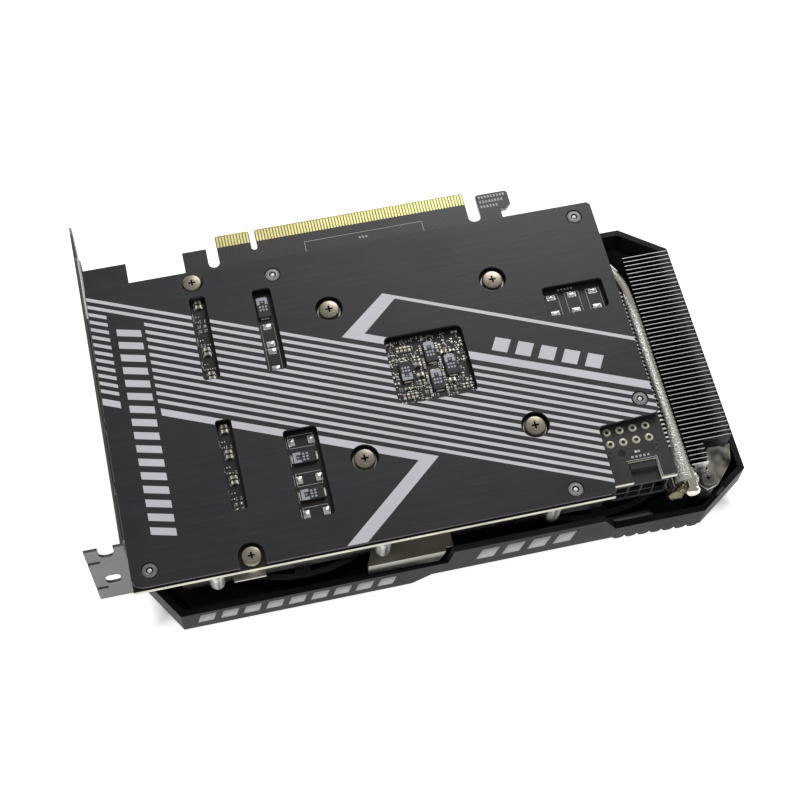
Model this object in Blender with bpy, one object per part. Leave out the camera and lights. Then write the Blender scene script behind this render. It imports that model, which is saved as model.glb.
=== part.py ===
"""A two-slot computer graphics card with twin fans, lying on its fan side with the backplate up.

All sizes below are in millimetres, in the board frame: x = 0 is the circuit board's edge at the
bracket, and +x runs to the tail; y = 0 is the tip of the gold edge contacts, and -y runs to the
card's long free edge; z = 0 is the board's back face, and the cooler hangs below it, towards -z.
An empty named card carries that frame to the centre of the card's footprint.
"""

import bpy
import bmesh
from math import cos, pi, sin, tau
from mathutils import Vector
from mathutils.geometry import tessellate_polygon

MM = 0.001
GAP = 0.3

# Circuit board
BOARD_THICK = 1.6
BOARD_TAIL = 169.8
BOARD_LOW = -118.9
BOARD_HIGH = -14.2
BOARD_LEDGE = -12.2
SOLDER_SIDE = -BOARD_THICK

# Backplate
PLATE_TOP = 2.5
PLATE_UNDER = 1.5
PLATE_LOW = -118.75
PLATE_HIGH = -13.8
SCREW_HOLE_R = 4.4
STANDOFF_HOLE_R = 2.6

# Expansion bracket
BRACKET_OUT = -1.5
BRACKET_IN = -0.65
BRACKET_HIGH = 3.0
BRACKET_LOW = -35.7
TAB_Y = -104.5
TAB_REACH = -12.6
SHEET = 0.85
TONGUE_TIP = 15.5
SLOT_PITCH = 20.32
TONGUE_MID = -6.2
VENT_COUNT = 13
VENT_PITCH = 7.0

# Shroud
FACE = -36.0
FLOOR = -34.2
WALL = 2.0
SHROUD_LEFT = 2.6
SHROUD_TAIL = 197.2
SHROUD_LOW_Y = -122.5
SHROUD_HIGH_Y = -14.5
RIM = -18.0
RIM_RAISED = -10.0
FACE_INSET = 5.0

# Processor and its cooler
GPU_X = 103.2
GPU_Y = -63.8
SCREW_SPAN = 54.5
PIPE_R = 2.5
PIPE_Z = -9.0
PIPE_DIP = -12.6
PIPE_LEFT = 22.0
FIN_PITCH = 1.56
FIN_THICK = 0.4
FIN_LOW = -23.3
FIN_BASE = 0.5
CAP_LONG = 1.6
MAIN_FIN_TOP = -11.8
BRIDGE_FIN_TOP = -15.6
TAIL_FIN_TOP = -6.0
BRIDGE_FIN_START = 149.8
TAIL_FIN_START = 178.4
TAIL_FIN_END = 192.7

# Fans
FAN_CENTRES = {"left": (52.5, -68.5), "right": (147.5, -68.5)}
OPENING_R = 45.0
COLLAR_R = 46.6
COLLAR_TOP = -26.2
RING_R = 43.6
HUB_R = 18.0
BLADE_COUNT = 11
SHAFT_R = 1.25
BEARING_R = 1.3
TUBE_R = 5.6
TUBE_WALL = 1.0
STATOR_R = 13.6
STATOR_LOW = -31.5
STATOR_HIGH = -26.2
MAGNET_IN = 14.4
HUB_WALL = 1.3
RING_WALL = 1.1
BLADE_SKIN = 0.45
BLADE_SWEEP = 0.42
BLADE_LOW = -33.2
BLADE_RISE = 5.6

CARD_MIDDLE = ((TAB_REACH + SHROUD_TAIL) / 2, (SHROUD_LOW_Y + TONGUE_TIP) / 2)

ALONG_X = "x"
ALONG_Y = "y"
ALONG_Z = "z"


# ---------------------------------------------------------------- materials and objects

def material(name, colour, roughness, metallic=0.0):
    found = bpy.data.materials.get(name)
    if found:
        return found
    made = bpy.data.materials.new(name)
    made.use_nodes = True
    shader = made.node_tree.nodes["Principled BSDF"]
    shader.inputs["Base Color"].default_value = (*colour, 1.0)
    shader.inputs["Roughness"].default_value = roughness
    shader.inputs["Metallic"].default_value = metallic
    return made


def finish_mesh(name, bm, slot, parent, location=(0.0, 0.0, 0.0)):
    """Turn a bmesh in millimetres into a named object in metres."""
    bmesh.ops.recalc_face_normals(bm, faces=bm.faces)
    bmesh.ops.scale(bm, vec=(MM, MM, MM), verts=bm.verts)
    mesh = bpy.data.meshes.new(name)
    bm.to_mesh(mesh)
    bm.free()
    mesh.shade_smooth()
    mesh.set_sharp_from_angle(angle=pi / 6)
    obj = bpy.data.objects.new(name, mesh)
    bpy.context.scene.collection.objects.link(obj)
    obj.parent = parent
    obj.location = Vector(location) * MM
    obj.data.materials.append(material(*slot))
    return obj


def combine(obj, tool, operation):
    """Join a helper to a piece, or cut it away, with a Boolean that stays on the piece."""
    tool.hide_render = True
    tool.display_type = "WIRE"
    step = obj.modifiers.new(tool.name, "BOOLEAN")
    step.operation = operation
    step.object = tool


# ---------------------------------------------------------------- outlines

def rectangle(x0, y0, x1, y1):
    return [(x0, y0), (x1, y0), (x1, y1), (x0, y1)]


def circle(x, y, r, steps=24):
    return [(x + r * cos(tau * i / steps), y + r * sin(tau * i / steps)) for i in range(steps)]


def rounded(points, radius, steps=3):
    """Replace each corner of an outline by an arc; radius is one number or one for each corner."""
    radii = radius if isinstance(radius, (list, tuple)) else [radius] * len(points)
    made = []
    for i, corner in enumerate(points):
        here = Vector(corner)
        before = (Vector(points[i - 1]) - here).normalized()
        after = (Vector(points[(i + 1) % len(points)]) - here).normalized()
        if radii[i] == 0:
            made.append(tuple(here))
            continue
        half = before.angle(after) / 2
        middle = here + (before + after).normalized() * radii[i] / sin(half)
        start = here + before * radii[i] / (sin(half) / cos(half)) - middle
        turn = start.angle_signed(here + after * radii[i] / (sin(half) / cos(half)) - middle)
        for k in range(steps + 1):
            angle = -turn * k / steps
            made.append((middle.x + start.x * cos(angle) - start.y * sin(angle),
                         middle.y + start.x * sin(angle) + start.y * cos(angle)))
    return made


def notch(x, y, r, edge_y, steps=8):
    """Points of a round-bottomed notch open at edge_y, from its right side to its left."""
    side = 1 if edge_y > y else -1
    arc = [(x + r * cos(pi * i / steps), y - side * r * sin(pi * i / steps)) for i in range(steps + 1)]
    return [(x + r, edge_y)] + arc + [(x - r, edge_y)]


# ---------------------------------------------------------------- solids

def turn(bm, profile, steps):
    """Turn a closed (radius, z) profile about z; points at radius 0 become single points."""
    rings = []
    for r, z in profile:
        if r == 0:
            rings.append([bm.verts.new((0, 0, z))])
        else:
            rings.append([bm.verts.new((x, y, z)) for x, y in circle(0, 0, r, steps)])
    for a, b in zip(rings, rings[1:] + rings[:1]):
        if len(a) == 1 and len(b) == 1:
            continue
        for i in range(steps):
            j = (i + 1) % steps
            corners = [a[i % len(a)], a[j % len(a)], b[j % len(b)], b[i % len(b)]]
            bm.faces.new(list(dict.fromkeys(corners)))


def extrusion(bm, loops, w0, w1, axes=ALONG_Z):
    """Extrude an outline, with any holes in it, between two planes across the last axis."""
    flat = [point for loop in loops for point in loop]
    ends = []
    for w in (w0, w1):
        row = []
        for u, v in flat:
            row.append(bm.verts.new(place((u, v, w), axes)))
        ends.append(row)
    if len(loops) == 1:
        bm.faces.new(ends[0][::-1])
        bm.faces.new(ends[1])
    else:
        for a, b, c in tessellate_polygon([[Vector((u, v, 0)) for u, v in loop] for loop in loops]):
            bm.faces.new((ends[0][a], ends[0][b], ends[0][c]))
            bm.faces.new((ends[1][c], ends[1][b], ends[1][a]))
    start = 0
    for loop in loops:
        count = len(loop)
        for i in range(count):
            j = (i + 1) % count
            bm.faces.new((ends[0][start + i], ends[0][start + j], ends[1][start + j], ends[1][start + i]))
        start += count


def place(co, axes):
    """Put local (u, v, w) on the axes named: ALONG_X sends w to x, u to y and v to z."""
    u, v, w = co
    if axes == ALONG_X:
        return (w, u, v)
    if axes == ALONG_Y:
        return (u, w, v)
    return (u, v, w)


def prism(name, slot, parent, loops, w0, w1, axes=ALONG_Z, location=(0.0, 0.0, 0.0)):
    bm = bmesh.new()
    extrusion(bm, loops, w0, w1, axes)
    return finish_mesh(name, bm, slot, parent, location)


def block(name, slot, parent, low, high):
    return prism(name, slot, parent, [rectangle(low[0], low[1], high[0], high[1])], low[2], high[2])


def cup(bm, outer, inner, mouth, floor, back, axes):
    """A closed-end socket: outer and inner outlines with equally many points, open at mouth."""
    rows = []
    for loop, w in ((outer, back), (outer, mouth), (inner, mouth), (inner, floor)):
        rows.append([bm.verts.new(place((u, v, w), axes)) for u, v in loop])
    count = len(outer)
    for low, high in zip(rows, rows[1:]):
        for i in range(count):
            j = (i + 1) % count
            bm.faces.new((low[i], low[j], high[j], high[i]))
    bm.faces.new(rows[0])
    bm.faces.new(rows[-1])


def lathe(name, slot, parent, profile, location=(0.0, 0.0, 0.0), steps=32):
    bm = bmesh.new()
    turn(bm, profile, steps)
    return finish_mesh(name, bm, slot, parent, location)


# ---------------------------------------------------------------- finishes

MASK = ("board_mask", (0.035, 0.034, 0.032), 0.45)
BACKPLATE = ("backplate_black", (0.04, 0.04, 0.044), 0.38, 0.8)
STEEL = ("bracket_steel", (0.42, 0.41, 0.39), 0.4, 1.0)
PORT = ("port_steel", (0.6, 0.6, 0.6), 0.3, 1.0)
CONNECTOR = ("connector_plastic", (0.03, 0.03, 0.033), 0.42)
SUBSTRATE = ("package_substrate", (0.03, 0.09, 0.05), 0.5)
SILICON = ("silicon", (0.25, 0.27, 0.3), 0.15, 0.6)
CHIP = ("chip_black", (0.02, 0.02, 0.02), 0.5)
COPPER = ("cold_plate_copper", (0.75, 0.4, 0.25), 0.3, 1.0)
PIPE = ("pipe_nickel", (0.72, 0.7, 0.64), 0.2, 1.0)
FIN = ("fin_aluminium", (0.7, 0.69, 0.66), 0.3, 1.0)
FRAME = ("frame_steel", (0.62, 0.6, 0.55), 0.3, 1.0)
SCREW = ("screw_nickel", (0.33, 0.3, 0.25), 0.3, 1.0)
BLACK_SCREW = ("screw_black", (0.05, 0.05, 0.05), 0.35, 0.8)
STANDOFF = ("standoff_zinc", (0.55, 0.55, 0.55), 0.35, 1.0)
CAN = ("capacitor_can", (0.8, 0.79, 0.74), 0.15, 1.0)
INDUCTOR = ("inductor_ferrite", (0.08, 0.08, 0.08), 0.6)
HEADER = ("header_nylon", (0.75, 0.73, 0.66), 0.5)
SHROUD = ("shroud_plastic", (0.07, 0.07, 0.075), 0.5)
FAN_FRAME = ("fan_frame_plastic", (0.03, 0.03, 0.03), 0.55)
COIL = ("stator_coil", (0.55, 0.25, 0.12), 0.4, 0.7)
BRONZE = ("bearing_bronze", (0.5, 0.35, 0.18), 0.35, 1.0)
ROTOR = ("fan_plastic", (0.025, 0.025, 0.027), 0.4)
SHAFT = ("shaft_steel", (0.65, 0.65, 0.66), 0.2, 1.0)
MAGNET = ("magnet_rubber", (0.06, 0.055, 0.05), 0.7)


# ---------------------------------------------------------------- board, backplate and their parts

GPU_SCREWS = [(GPU_X + dx * SCREW_SPAN / 2, GPU_Y + dy * SCREW_SPAN / 2)
              for dx, dy in ((-1, 1), (1, 1), (1, -1), (-1, -1))]
BRACE_SCREWS = {"upper": (34.4, -17.6), "lower": (36.1, -115.2)}
STANDOFFS = [(60.5, -20.3), (163.2, -18.7), (165.1, -89.1), (136.8, -115.0), (5.8, -113.8)]
SHANK_R = 1.3
SHANK_HOLE_R = 1.75


def board(card):
    finger_slot = notch(42.85, -10.3, 1.8, 0.0)[::-1]
    outline = [(0, BOARD_LOW), (0, -4.7), (14.4, -4.7), (14.4, BOARD_LEDGE), (33.1, BOARD_LEDGE),
               (33.1, -4.5), (41.05, -4.5)]
    outline += finger_slot[1:-1]
    outline += [(44.65, -0.6), (45.2, 0), (55.45, 0), (55.95, -0.6), (55.95, -7.6), (57.85, -7.6),
                (57.85, -0.6), (58.4, 0), (128.6, 0), (129.1, -0.6),
                (129.1, BOARD_LEDGE), (133.2, BOARD_LEDGE), (133.2, -2.6), (133.8, -2.0),
                (143.6, -2.0), (144.3, -2.8), (144.3, -7.4), (142.5, -9.0),
                (140.5, -9.0), (140.5, BOARD_HIGH), (BOARD_TAIL, BOARD_HIGH), (BOARD_TAIL, -115.6),
                (164.9, -115.6), (164.9, -108.8), (155.7, -108.8), (155.7, -115.6), (149.7, -115.6),
                (148.9, BOARD_LOW)]
    holes = [circle(x, y, SHANK_HOLE_R, 10) for x, y in GPU_SCREWS + list(BRACE_SCREWS.values())]
    prism("pcb", MASK, card, [outline] + holes, SOLDER_SIDE, 0.0)


WINDOWS = {
    "slot_a": (32.3, -54.2, 37.5, -23.7, 1.2),
    "slot_b": (52.6, -55.2, 58.7, -24.8, 1.5),
    "slot_c": (33.1, -100.1, 37.9, -69.1, 1.2),
    "slot_d": (52.9, -107.4, 63.4, -76.9, 1.6),
    "gpu": (90.6, -75.6, 116.0, -51.0, 2.4),
    "memory": (145.1, -54.3, 165.3, -43.4, 1.6),
}


def backplate(card):
    upper = BRACE_SCREWS["upper"]
    lower = BRACE_SCREWS["lower"]
    outline = [(0, -14.8), (0.6, PLATE_HIGH)]
    outline += notch(upper[0], upper[1], 3.7, PLATE_HIGH)[::-1]
    outline += [(168.8, PLATE_HIGH), (BOARD_TAIL, -14.8), (BOARD_TAIL, -94.0), (168.6, -94.9),
                (150.4, -96.0), (149.6, -96.8), (149.3, -115.2), (148.4, -118.0), (147.2, PLATE_LOW)]
    outline += notch(lower[0], lower[1], 4.0, PLATE_LOW)
    outline += [(3.0, PLATE_LOW), (0.9, -117.9), (0, -115.8)]
    holes = [circle(x, y, SCREW_HOLE_R, 20) for x, y in GPU_SCREWS]
    holes += [circle(x, y, STANDOFF_HOLE_R, 14) for x, y in STANDOFFS]
    holes += [rounded(rectangle(*window[:4]), window[4]) for window in WINDOWS.values()]
    prism("backplate", BACKPLATE, card, [outline] + holes, PLATE_UNDER, PLATE_TOP)


def standoffs(card):
    profile = [(0, 1.7), (1.1, 1.7), (1.1, 2.62), (2.25, 2.62), (2.25, 1.2), (2.9, 1.2),
               (2.9, GAP), (0, GAP)]
    for i, (x, y) in enumerate(STANDOFFS, 1):
        lathe(f"backplate_standoff_{i}", STANDOFF, card, profile, (x, y, 0), 14)


def cross_recess(name, card, x, y, top, reach, width, depth):
    arm = width / 2
    outline = [(reach, -arm), (reach, arm), (arm, arm), (arm, reach), (-arm, reach), (-arm, arm),
               (-reach, arm), (-reach, -arm), (-arm, -arm), (-arm, -reach), (arm, -reach), (arm, -arm)]
    return prism(name, SCREW, card, [outline], top - depth, top + 1.0, location=(x, y, 0))


def screw(name, slot, card, x, y, seat, head_r, head_tall, tip):
    """A pan-head screw with a cross recess; seat is the height of the head's underside."""
    crown = seat + head_tall
    profile = [(0, crown), (head_r * 0.8, crown - 0.2), (head_r, crown - 0.9), (head_r, seat),
               (SHANK_R, seat), (SHANK_R, tip), (0, tip)]
    made = lathe(name, slot, card, profile, (x, y, 0), 16)
    recess = cross_recess(name + "_recess", card, x, y, crown, head_r * 0.48, 0.75, 1.1)
    combine(made, recess, "DIFFERENCE")


def screws(card):
    for i, (x, y) in enumerate(GPU_SCREWS, 1):
        screw(f"gpu_screw_{i}", SCREW, card, x, y, GAP, 3.35, 2.0, -5.2)
    for side, (x, y) in BRACE_SCREWS.items():
        screw(f"brace_screw_{side}", SCREW, card, x, y, GAP, 3.1, 1.8, -4.8)


# ---------------------------------------------------------------- bracket and ports

PORT_LOW = -7.9
PORT_HIGH = -1.9
PORT_Y = {"displayport_1": -30.0, "displayport_2": -51.0, "displayport_3": -72.0, "hdmi_port": -93.0}
PORT_HALF = {"displayport_1": 8.4, "displayport_2": 8.4, "displayport_3": 8.4, "hdmi_port": 7.8}
PORT_CUT = {"displayport_1": 2.0, "displayport_2": 2.0, "displayport_3": 2.0, "hdmi_port": 1.4}


def port_outline(name, grow):
    """The D-shaped mouth of a port in (y, z), grown by a distance; one or two corners are cut."""
    y = PORT_Y[name]
    half = PORT_HALF[name] + grow
    low = PORT_LOW - grow
    high = PORT_HIGH + grow
    cut = PORT_CUT[name] + grow / 2
    other = cut if name == "hdmi_port" else 0.3
    return [(y - half, high), (y - half, low + other), (y - half + other, low), (y + half - cut, low),
            (y + half, low + cut), (y + half, high)]


def bracket_outline():
    """The bracket's face in (y, z), with a tapered tongue at the foot of each slot."""
    outline = [(TAB_Y, BRACKET_LOW), (TAB_Y, BRACKET_HIGH), (-2.0, BRACKET_HIGH)]
    for slot in range(2):
        middle = TONGUE_MID - slot * SLOT_PITCH
        outline += [(2.0, middle + 5.1), (11.0, middle + 5.1), (TONGUE_TIP, middle + 2.6),
                    (TONGUE_TIP, middle - 2.6), (11.0, middle - 5.1), (2.0, middle - 5.1)]
        if slot == 0:
            outline += [(-2.0, middle - SLOT_PITCH / 2)]
    outline += [(-2.0, BRACKET_LOW)]
    return outline


def vent_holes():
    holes = []
    for i in range(VENT_COUNT):
        y = -96.0 + i * VENT_PITCH
        holes.append(rounded(rectangle(y - 1.8, -32.5, y + 1.8, -16.5), 1.2, 1))
    return holes


def bracket(card):
    bm = bmesh.new()
    holes = [port_outline(name, GAP) for name in PORT_Y] + vent_holes()
    extrusion(bm, [bracket_outline()] + holes, BRACKET_OUT, BRACKET_IN, ALONG_X)
    for vert in bm.verts:
        vert.co.x -= 0.04 * max(0.0, vert.co.y)
    made = finish_mesh("io_bracket", bm, STEEL, card)
    screw_notch = notch(-6.1, -0.9, 2.35, BRACKET_HIGH)[::-1]
    slits = [[(TAB_REACH, z - 1.0), (-9.6, z - 1.0), (-8.6, z - 1.5), (-8.9, z - 2.8), (TAB_REACH, z - 3.0)]
             for z in (-4.2, -4.2 - SLOT_PITCH)]
    outline = [(TAB_REACH, BRACKET_HIGH)] + screw_notch
    outline += [(BRACKET_IN, BRACKET_HIGH), (BRACKET_IN, BRACKET_LOW), (TAB_REACH, BRACKET_LOW)]
    outline += slits[1][::-1] + slits[0][::-1]
    hole = rounded(rectangle(-8.95, -23.7, -4.25, -17.7), 1.6, 4)
    tab = prism("bracket_tab_tool", STEEL, card, [outline, hole], TAB_Y, TAB_Y + SHEET, ALONG_Y)
    combine(made, tab, "UNION")


def ports(card):
    shell = 0.35
    for name in PORT_Y:
        bm = bmesh.new()
        outer = port_outline(name, 0.0)
        inner = port_outline(name, -shell)
        cup(bm, outer, inner, BRACKET_OUT - 0.2, 10.4, 12.0, ALONG_X)
        finish_mesh(name, bm, PORT, card)


# ---------------------------------------------------------------- parts soldered to the board

PLUG_PITCH = 4.2
PLUG_FACE = -115.5
PLUG_BACK = -96.0
PLUG_LEFT = 150.3
PLUG_RIGHT = 167.4
PLUG_LOW = -12.5
PLUG_HIGH = -2.1
CELL_HALF = 1.78


def power_connector(card):
    """The eight-way power header; its cells open towards the card's free edge."""
    cells = []
    for row in range(2):
        for column in range(4):
            x = 152.5 + column * PLUG_PITCH
            z = -5.1 - row * PLUG_PITCH
            cells.append(rectangle(x - CELL_HALF, z - CELL_HALF, x + CELL_HALF, z + CELL_HALF))
    bm = bmesh.new()
    face = rectangle(PLUG_LEFT, PLUG_LOW, PLUG_RIGHT, PLUG_HIGH)
    extrusion(bm, [face] + cells, PLUG_FACE, -105.5, ALONG_Y)
    made = finish_mesh("power_connector", bm, CONNECTOR, card)
    back = block("connector_back_tool", CONNECTOR, card, (PLUG_LEFT, -105.9, PLUG_LOW),
                 (PLUG_RIGHT, PLUG_BACK, PLUG_HIGH))
    combine(made, back, "UNION")
    ramp = [(-111.2, PLUG_HIGH - 0.3), (-111.2, -0.5), (-109.2, -0.5), (-109.2, PLUG_HIGH - 0.3)]
    catch = prism("connector_catch_tool", CONNECTOR, card, [ramp], 156.1, 164.5, ALONG_X)
    combine(made, catch, "UNION")


def processor(card):
    def square(half_x, half_y):
        return [rectangle(GPU_X - half_x, GPU_Y - half_y, GPU_X + half_x, GPU_Y + half_y)]

    prism("gpu_package", SUBSTRATE, card, square(18.75, 18.75), -3.5, SOLDER_SIDE - GAP)
    prism("gpu_die", SILICON, card, square(8.5, 7.8), -4.4, -3.8)
    chips = [(-32, 9, 6, 7), (-32, -9, 6, 7), (-9, -32, 7, 6), (9, -32, 7, 6), (32, -9, 6, 7),
             (32, 9, 6, 7)]
    for i, (dx, dy, half_x, half_y) in enumerate(chips, 1):
        low = (GPU_X + dx - half_x, GPU_Y + dy - half_y, -3.0)
        high = (GPU_X + dx + half_x, GPU_Y + dy + half_y, SOLDER_SIDE - GAP)
        block(f"memory_chip_{i}", CHIP, card, low, high)


CAPACITORS = [(24.8, -116.0), (76.3, -116.0), (130.4, -116.0)]
INDUCTORS = [(46.0, -36.0), (46.0, -88.0), (138.0, -88.0)]


def passives(card):
    top = SOLDER_SIDE - GAP
    can = [(0, top), (2.75, top), (2.7, top - 1.8), (2.25, -12.6), (1.9, -13.0), (0, -13.0)]
    for i, (x, y) in enumerate(CAPACITORS, 1):
        lathe(f"capacitor_{i}", CAN, card, can, (x, y, 0), 18)
    for i, (x, y) in enumerate(INDUCTORS, 1):
        outline = [(x + u, y + v) for u, v in rounded(rectangle(-3.5, -3.5, 3.5, 3.5), 0.8, 2)]
        prism(f"inductor_{i}", INDUCTOR, card, [outline], -5.6, top)


def fan_header(card):
    bm = bmesh.new()
    outer = rectangle(150.0, -5.8, 160.0, SOLDER_SIDE - GAP)
    inner = rectangle(150.6, -5.2, 159.4, SOLDER_SIDE - GAP - 0.6)
    cup(bm, outer, inner, -38.6, -35.2, -34.4, ALONG_Y)
    finish_mesh("fan_header", bm, HEADER, card)


# ---------------------------------------------------------------- cooler

def smooth_path(points, per_span=3):
    """Points on a Catmull-Rom curve through the given ones."""
    knots = [Vector(point) for point in points]
    knots = [knots[0] * 2 - knots[1]] + knots + [knots[-1] * 2 - knots[-2]]
    made = []
    for p0, p1, p2, p3 in zip(knots, knots[1:], knots[2:], knots[3:]):
        straight = (p2 - p1).normalized().dot((p1 - p0).normalized()) > 0.9999
        straight = straight and (p3 - p2).normalized().dot((p2 - p1).normalized()) > 0.9999
        steps = 1 if straight else per_span
        for k in range(steps):
            t = k / steps
            made.append(0.5 * (2 * p1 + (p2 - p0) * t + (2 * p0 - 5 * p1 + 4 * p2 - p3) * t ** 2
                               + (3 * p1 - p0 - 3 * p2 + p3) * t ** 3))
    made.append(knots[-2])
    return made


def pipe(name, card, route, sides=10):
    """A round tube with closed, rounded ends that follows a route."""
    path = smooth_path(route)
    first = (path[1] - path[0]).normalized()
    last = (path[-1] - path[-2]).normalized()
    stations = [(path[0], 0.45), (path[0] + first * 0.5, 0.8), (path[0] + first * CAP_LONG, 1.0)]
    stations += [(point, 1.0) for point in path[1:-1]]
    stations += [(path[-1] - last * CAP_LONG, 1.0), (path[-1] - last * 0.5, 0.8), (path[-1], 0.45)]
    bm = bmesh.new()
    rings = []
    for i, (middle, share) in enumerate(stations):
        ahead = stations[min(i + 1, len(stations) - 1)][0]
        behind = stations[max(i - 1, 0)][0]
        along = (ahead - behind).normalized()
        side = along.cross(Vector((0, 0, 1))).normalized()
        up = side.cross(along)
        rings.append([bm.verts.new(middle + (side * cos(tau * k / sides) + up * sin(tau * k / sides))
                                   * PIPE_R * share) for k in range(sides)])
    for low, high in zip(rings, rings[1:]):
        for k in range(sides):
            m = (k + 1) % sides
            bm.faces.new((low[k], low[m], high[m], high[k]))
    bm.faces.new(rings[0])
    bm.faces.new(rings[-1])
    finish_mesh(name, bm, PIPE, card)


def heat_pipes(card):
    z = PIPE_Z
    dip = PIPE_DIP
    left = PIPE_LEFT
    pipe("heat_pipe_1", card, [
        (175.5, -120.0, z), (175.5, -90.0, z), (175.5, -52.0, z), (173.4, -38.5, z),
        (166.0, -29.0, z), (154.5, -26.5, z), (144.0, -32.0, z), (137.5, -44.0, z),
        (127.0, -54.0, z), (112.0, -56.5, z), (95.0, -56.5, z), (left, -56.5, z),
    ])
    pipe("heat_pipe_2", card, [
        (171.0, -117.5, dip), (171.0, -108.0, dip), (170.8, -97.0, dip),
        (167.5, -86.5, dip + 0.3), (160.0, -79.0, -10.8), (150.0, -75.0, z),
        (135.0, -72.5, z), (118.0, -71.1, z), (100.0, -71.1, z), (left, -71.1, z),
    ])
    pipe("heat_pipe_3", card, [(left, GPU_Y, z), (60.0, GPU_Y, z), (142.0, GPU_Y, z)])


def comb(y0, y1, top, base_at_top):
    """Outline in (y, z) of a row of fins that share one thin strip along their tops or feet."""
    count = int((y1 - y0 - FIN_THICK) / FIN_PITCH) + 1
    strip = top if base_at_top else FIN_LOW
    free = FIN_LOW if base_at_top else top
    inner = strip - FIN_BASE if base_at_top else strip + FIN_BASE
    outline = [(y0, strip)]
    for i in range(count):
        y = y0 + i * FIN_PITCH
        outline += [(y, free), (y + FIN_THICK, free)]
        if i < count - 1:
            outline += [(y + FIN_THICK, inner), (y + FIN_PITCH, inner)]
    outline.append((y0 + (count - 1) * FIN_PITCH + FIN_THICK, strip))
    return outline


def fin_stacks(card):
    main = comb(-112.0, -24.0, MAIN_FIN_TOP, True)
    bridge = comb(-111.0, -33.0, BRIDGE_FIN_TOP, True)
    raised = comb(-111.2, -32.8, TAIL_FIN_TOP, False)
    prism("fin_stack_main", FIN, card, [main], 14.0, BRIDGE_FIN_START - GAP, ALONG_X)
    prism("fin_stack_bridge", FIN, card, [bridge], BRIDGE_FIN_START, TAIL_FIN_START - GAP, ALONG_X)
    tail = prism("fin_stack_tail", FIN, card, [raised], TAIL_FIN_START, TAIL_FIN_END, ALONG_X)
    corner = block("fin_corner_tool", FIN, card, (182.9, -113.0, -25.0), (195.0, -103.9, 0.0))
    combine(tail, corner, "DIFFERENCE")


def cold_plate(card):
    outline = [(GPU_X + u, GPU_Y + v) for u, v in rounded(rectangle(-22.5, -21.0, 22.5, 21.0), 2.0, 3)]
    prism("cold_plate", COPPER, card, [outline], -6.2, -4.7)


def mounting_frame(card):
    """The sprung steel frame round the cold plate, with a threaded post at each corner."""
    half = SCREW_SPAN / 2 + 4
    outer = [(GPU_X + u, GPU_Y + v) for u, v in rounded(rectangle(-half, -half, half, half), 3.5, 3)]
    inner = [(GPU_X + u, GPU_Y + v) for u, v in rounded(rectangle(-24.0, -23.0, 24.0, 23.0), 2.0, 2)]
    made = prism("mounting_frame", FRAME, card, [outer, inner], -6.1, -5.1)
    tools = (
        ("frame_posts_tool", 2.8, -5.6, SOLDER_SIDE - GAP, "UNION"),
        ("frame_bores_tool", 1.65, -7.0, 0.0, "DIFFERENCE"),
    )
    for name, r, low, high, operation in tools:
        bm = bmesh.new()
        for x, y in GPU_SCREWS:
            extrusion(bm, [circle(x, y, r, 12)], low, high)
        combine(made, finish_mesh(name, bm, FRAME, card), operation)


def brace(name, card, screw_at, left, right, edge, inner):
    """A stepped sheet brace from the cooler to the board, with a threaded post for one screw."""
    x, y = screw_at
    step = 0.8 if inner > edge else -0.8
    profile = [(edge, -6.6), (edge, -5.8), (inner, -5.8), (inner, -11.4), (inner - step, -11.4),
               (inner - step, -6.6)]
    made = prism(name, FRAME, card, [profile], left, right, ALONG_X)
    bm = bmesh.new()
    extrusion(bm, [circle(x, y, 2.6, 12)], -6.2, SOLDER_SIDE - GAP)
    post = finish_mesh(name + "_post_tool", bm, FRAME, card)
    combine(made, post, "UNION")
    bore = prism(name + "_bore_tool", FRAME, card, [circle(x, y, 1.6, 10)], -8.0, 0.0)
    combine(made, bore, "DIFFERENCE")


def braces(card):
    brace("brace_lower", card, BRACE_SCREWS["lower"], 29.8, 39.5, -119.4, -108.0)
    brace("brace_upper", card, BRACE_SCREWS["upper"], 29.6, 39.2, -14.6, -28.0)


def side_flange(card):
    """The bent flange along the cooler's lower side."""
    profile = [(-119.6, -22.0), (-119.6, -15.2), (-112.6, -15.2), (-112.6, -15.9), (-118.9, -15.9),
               (-118.9, -22.0)]
    left_cut = [(69.0, -121.0), (71.3, -121.0), (71.0, -119.0), (74.5, -111.0), (69.0, -111.0)]
    right_cut = [(99.5, -14.0), (99.5, -24.0), (93.5, -24.0), (96.2, -14.0)]
    made = prism("side_flange", FRAME, card, [profile], 70.5, 98.5, ALONG_X)
    left = prism("flange_left_tool", FRAME, card, [left_cut], -24.0, -14.0)
    right = prism("flange_right_tool", FRAME, card, [right_cut], -121.0, -118.3, ALONG_Y)
    combine(made, left, "DIFFERENCE")
    combine(made, right, "DIFFERENCE")


TAIL_SCREW = (181.6, -115.4)


def tail_bracket(card):
    outline = [(178.7, -112.2), (182.8, -111.9), (184.6, -104.6), (192.4, -104.6), (190.9, -110.4),
               (189.4, -112.4), (184.4, -117.6), (180.6, -118.6), (178.6, -116.6)]
    prism("tail_bracket", FRAME, card, [outline, circle(*TAIL_SCREW, SHANK_HOLE_R, 10)], -11.2, -10.4)
    screw("tail_screw", BLACK_SCREW, card, *TAIL_SCREW, -10.1, 2.3, 1.5, -15.0)


# ---------------------------------------------------------------- shroud

def inset(points, distance):
    """Move every edge of a convex outline inwards by the same distance."""
    made = []
    count = len(points)
    for i in range(count):
        before, here, after = (Vector(points[(i + k) % count]) for k in (-1, 0, 1))
        into = (here - before).normalized()
        out = (after - here).normalized()
        normal_in = Vector((-into.y, into.x))
        normal_out = Vector((-out.y, out.x))
        middle = normal_in + normal_out
        middle /= middle.dot(normal_out)
        made.append(tuple(here + middle * distance))
    return made


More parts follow.
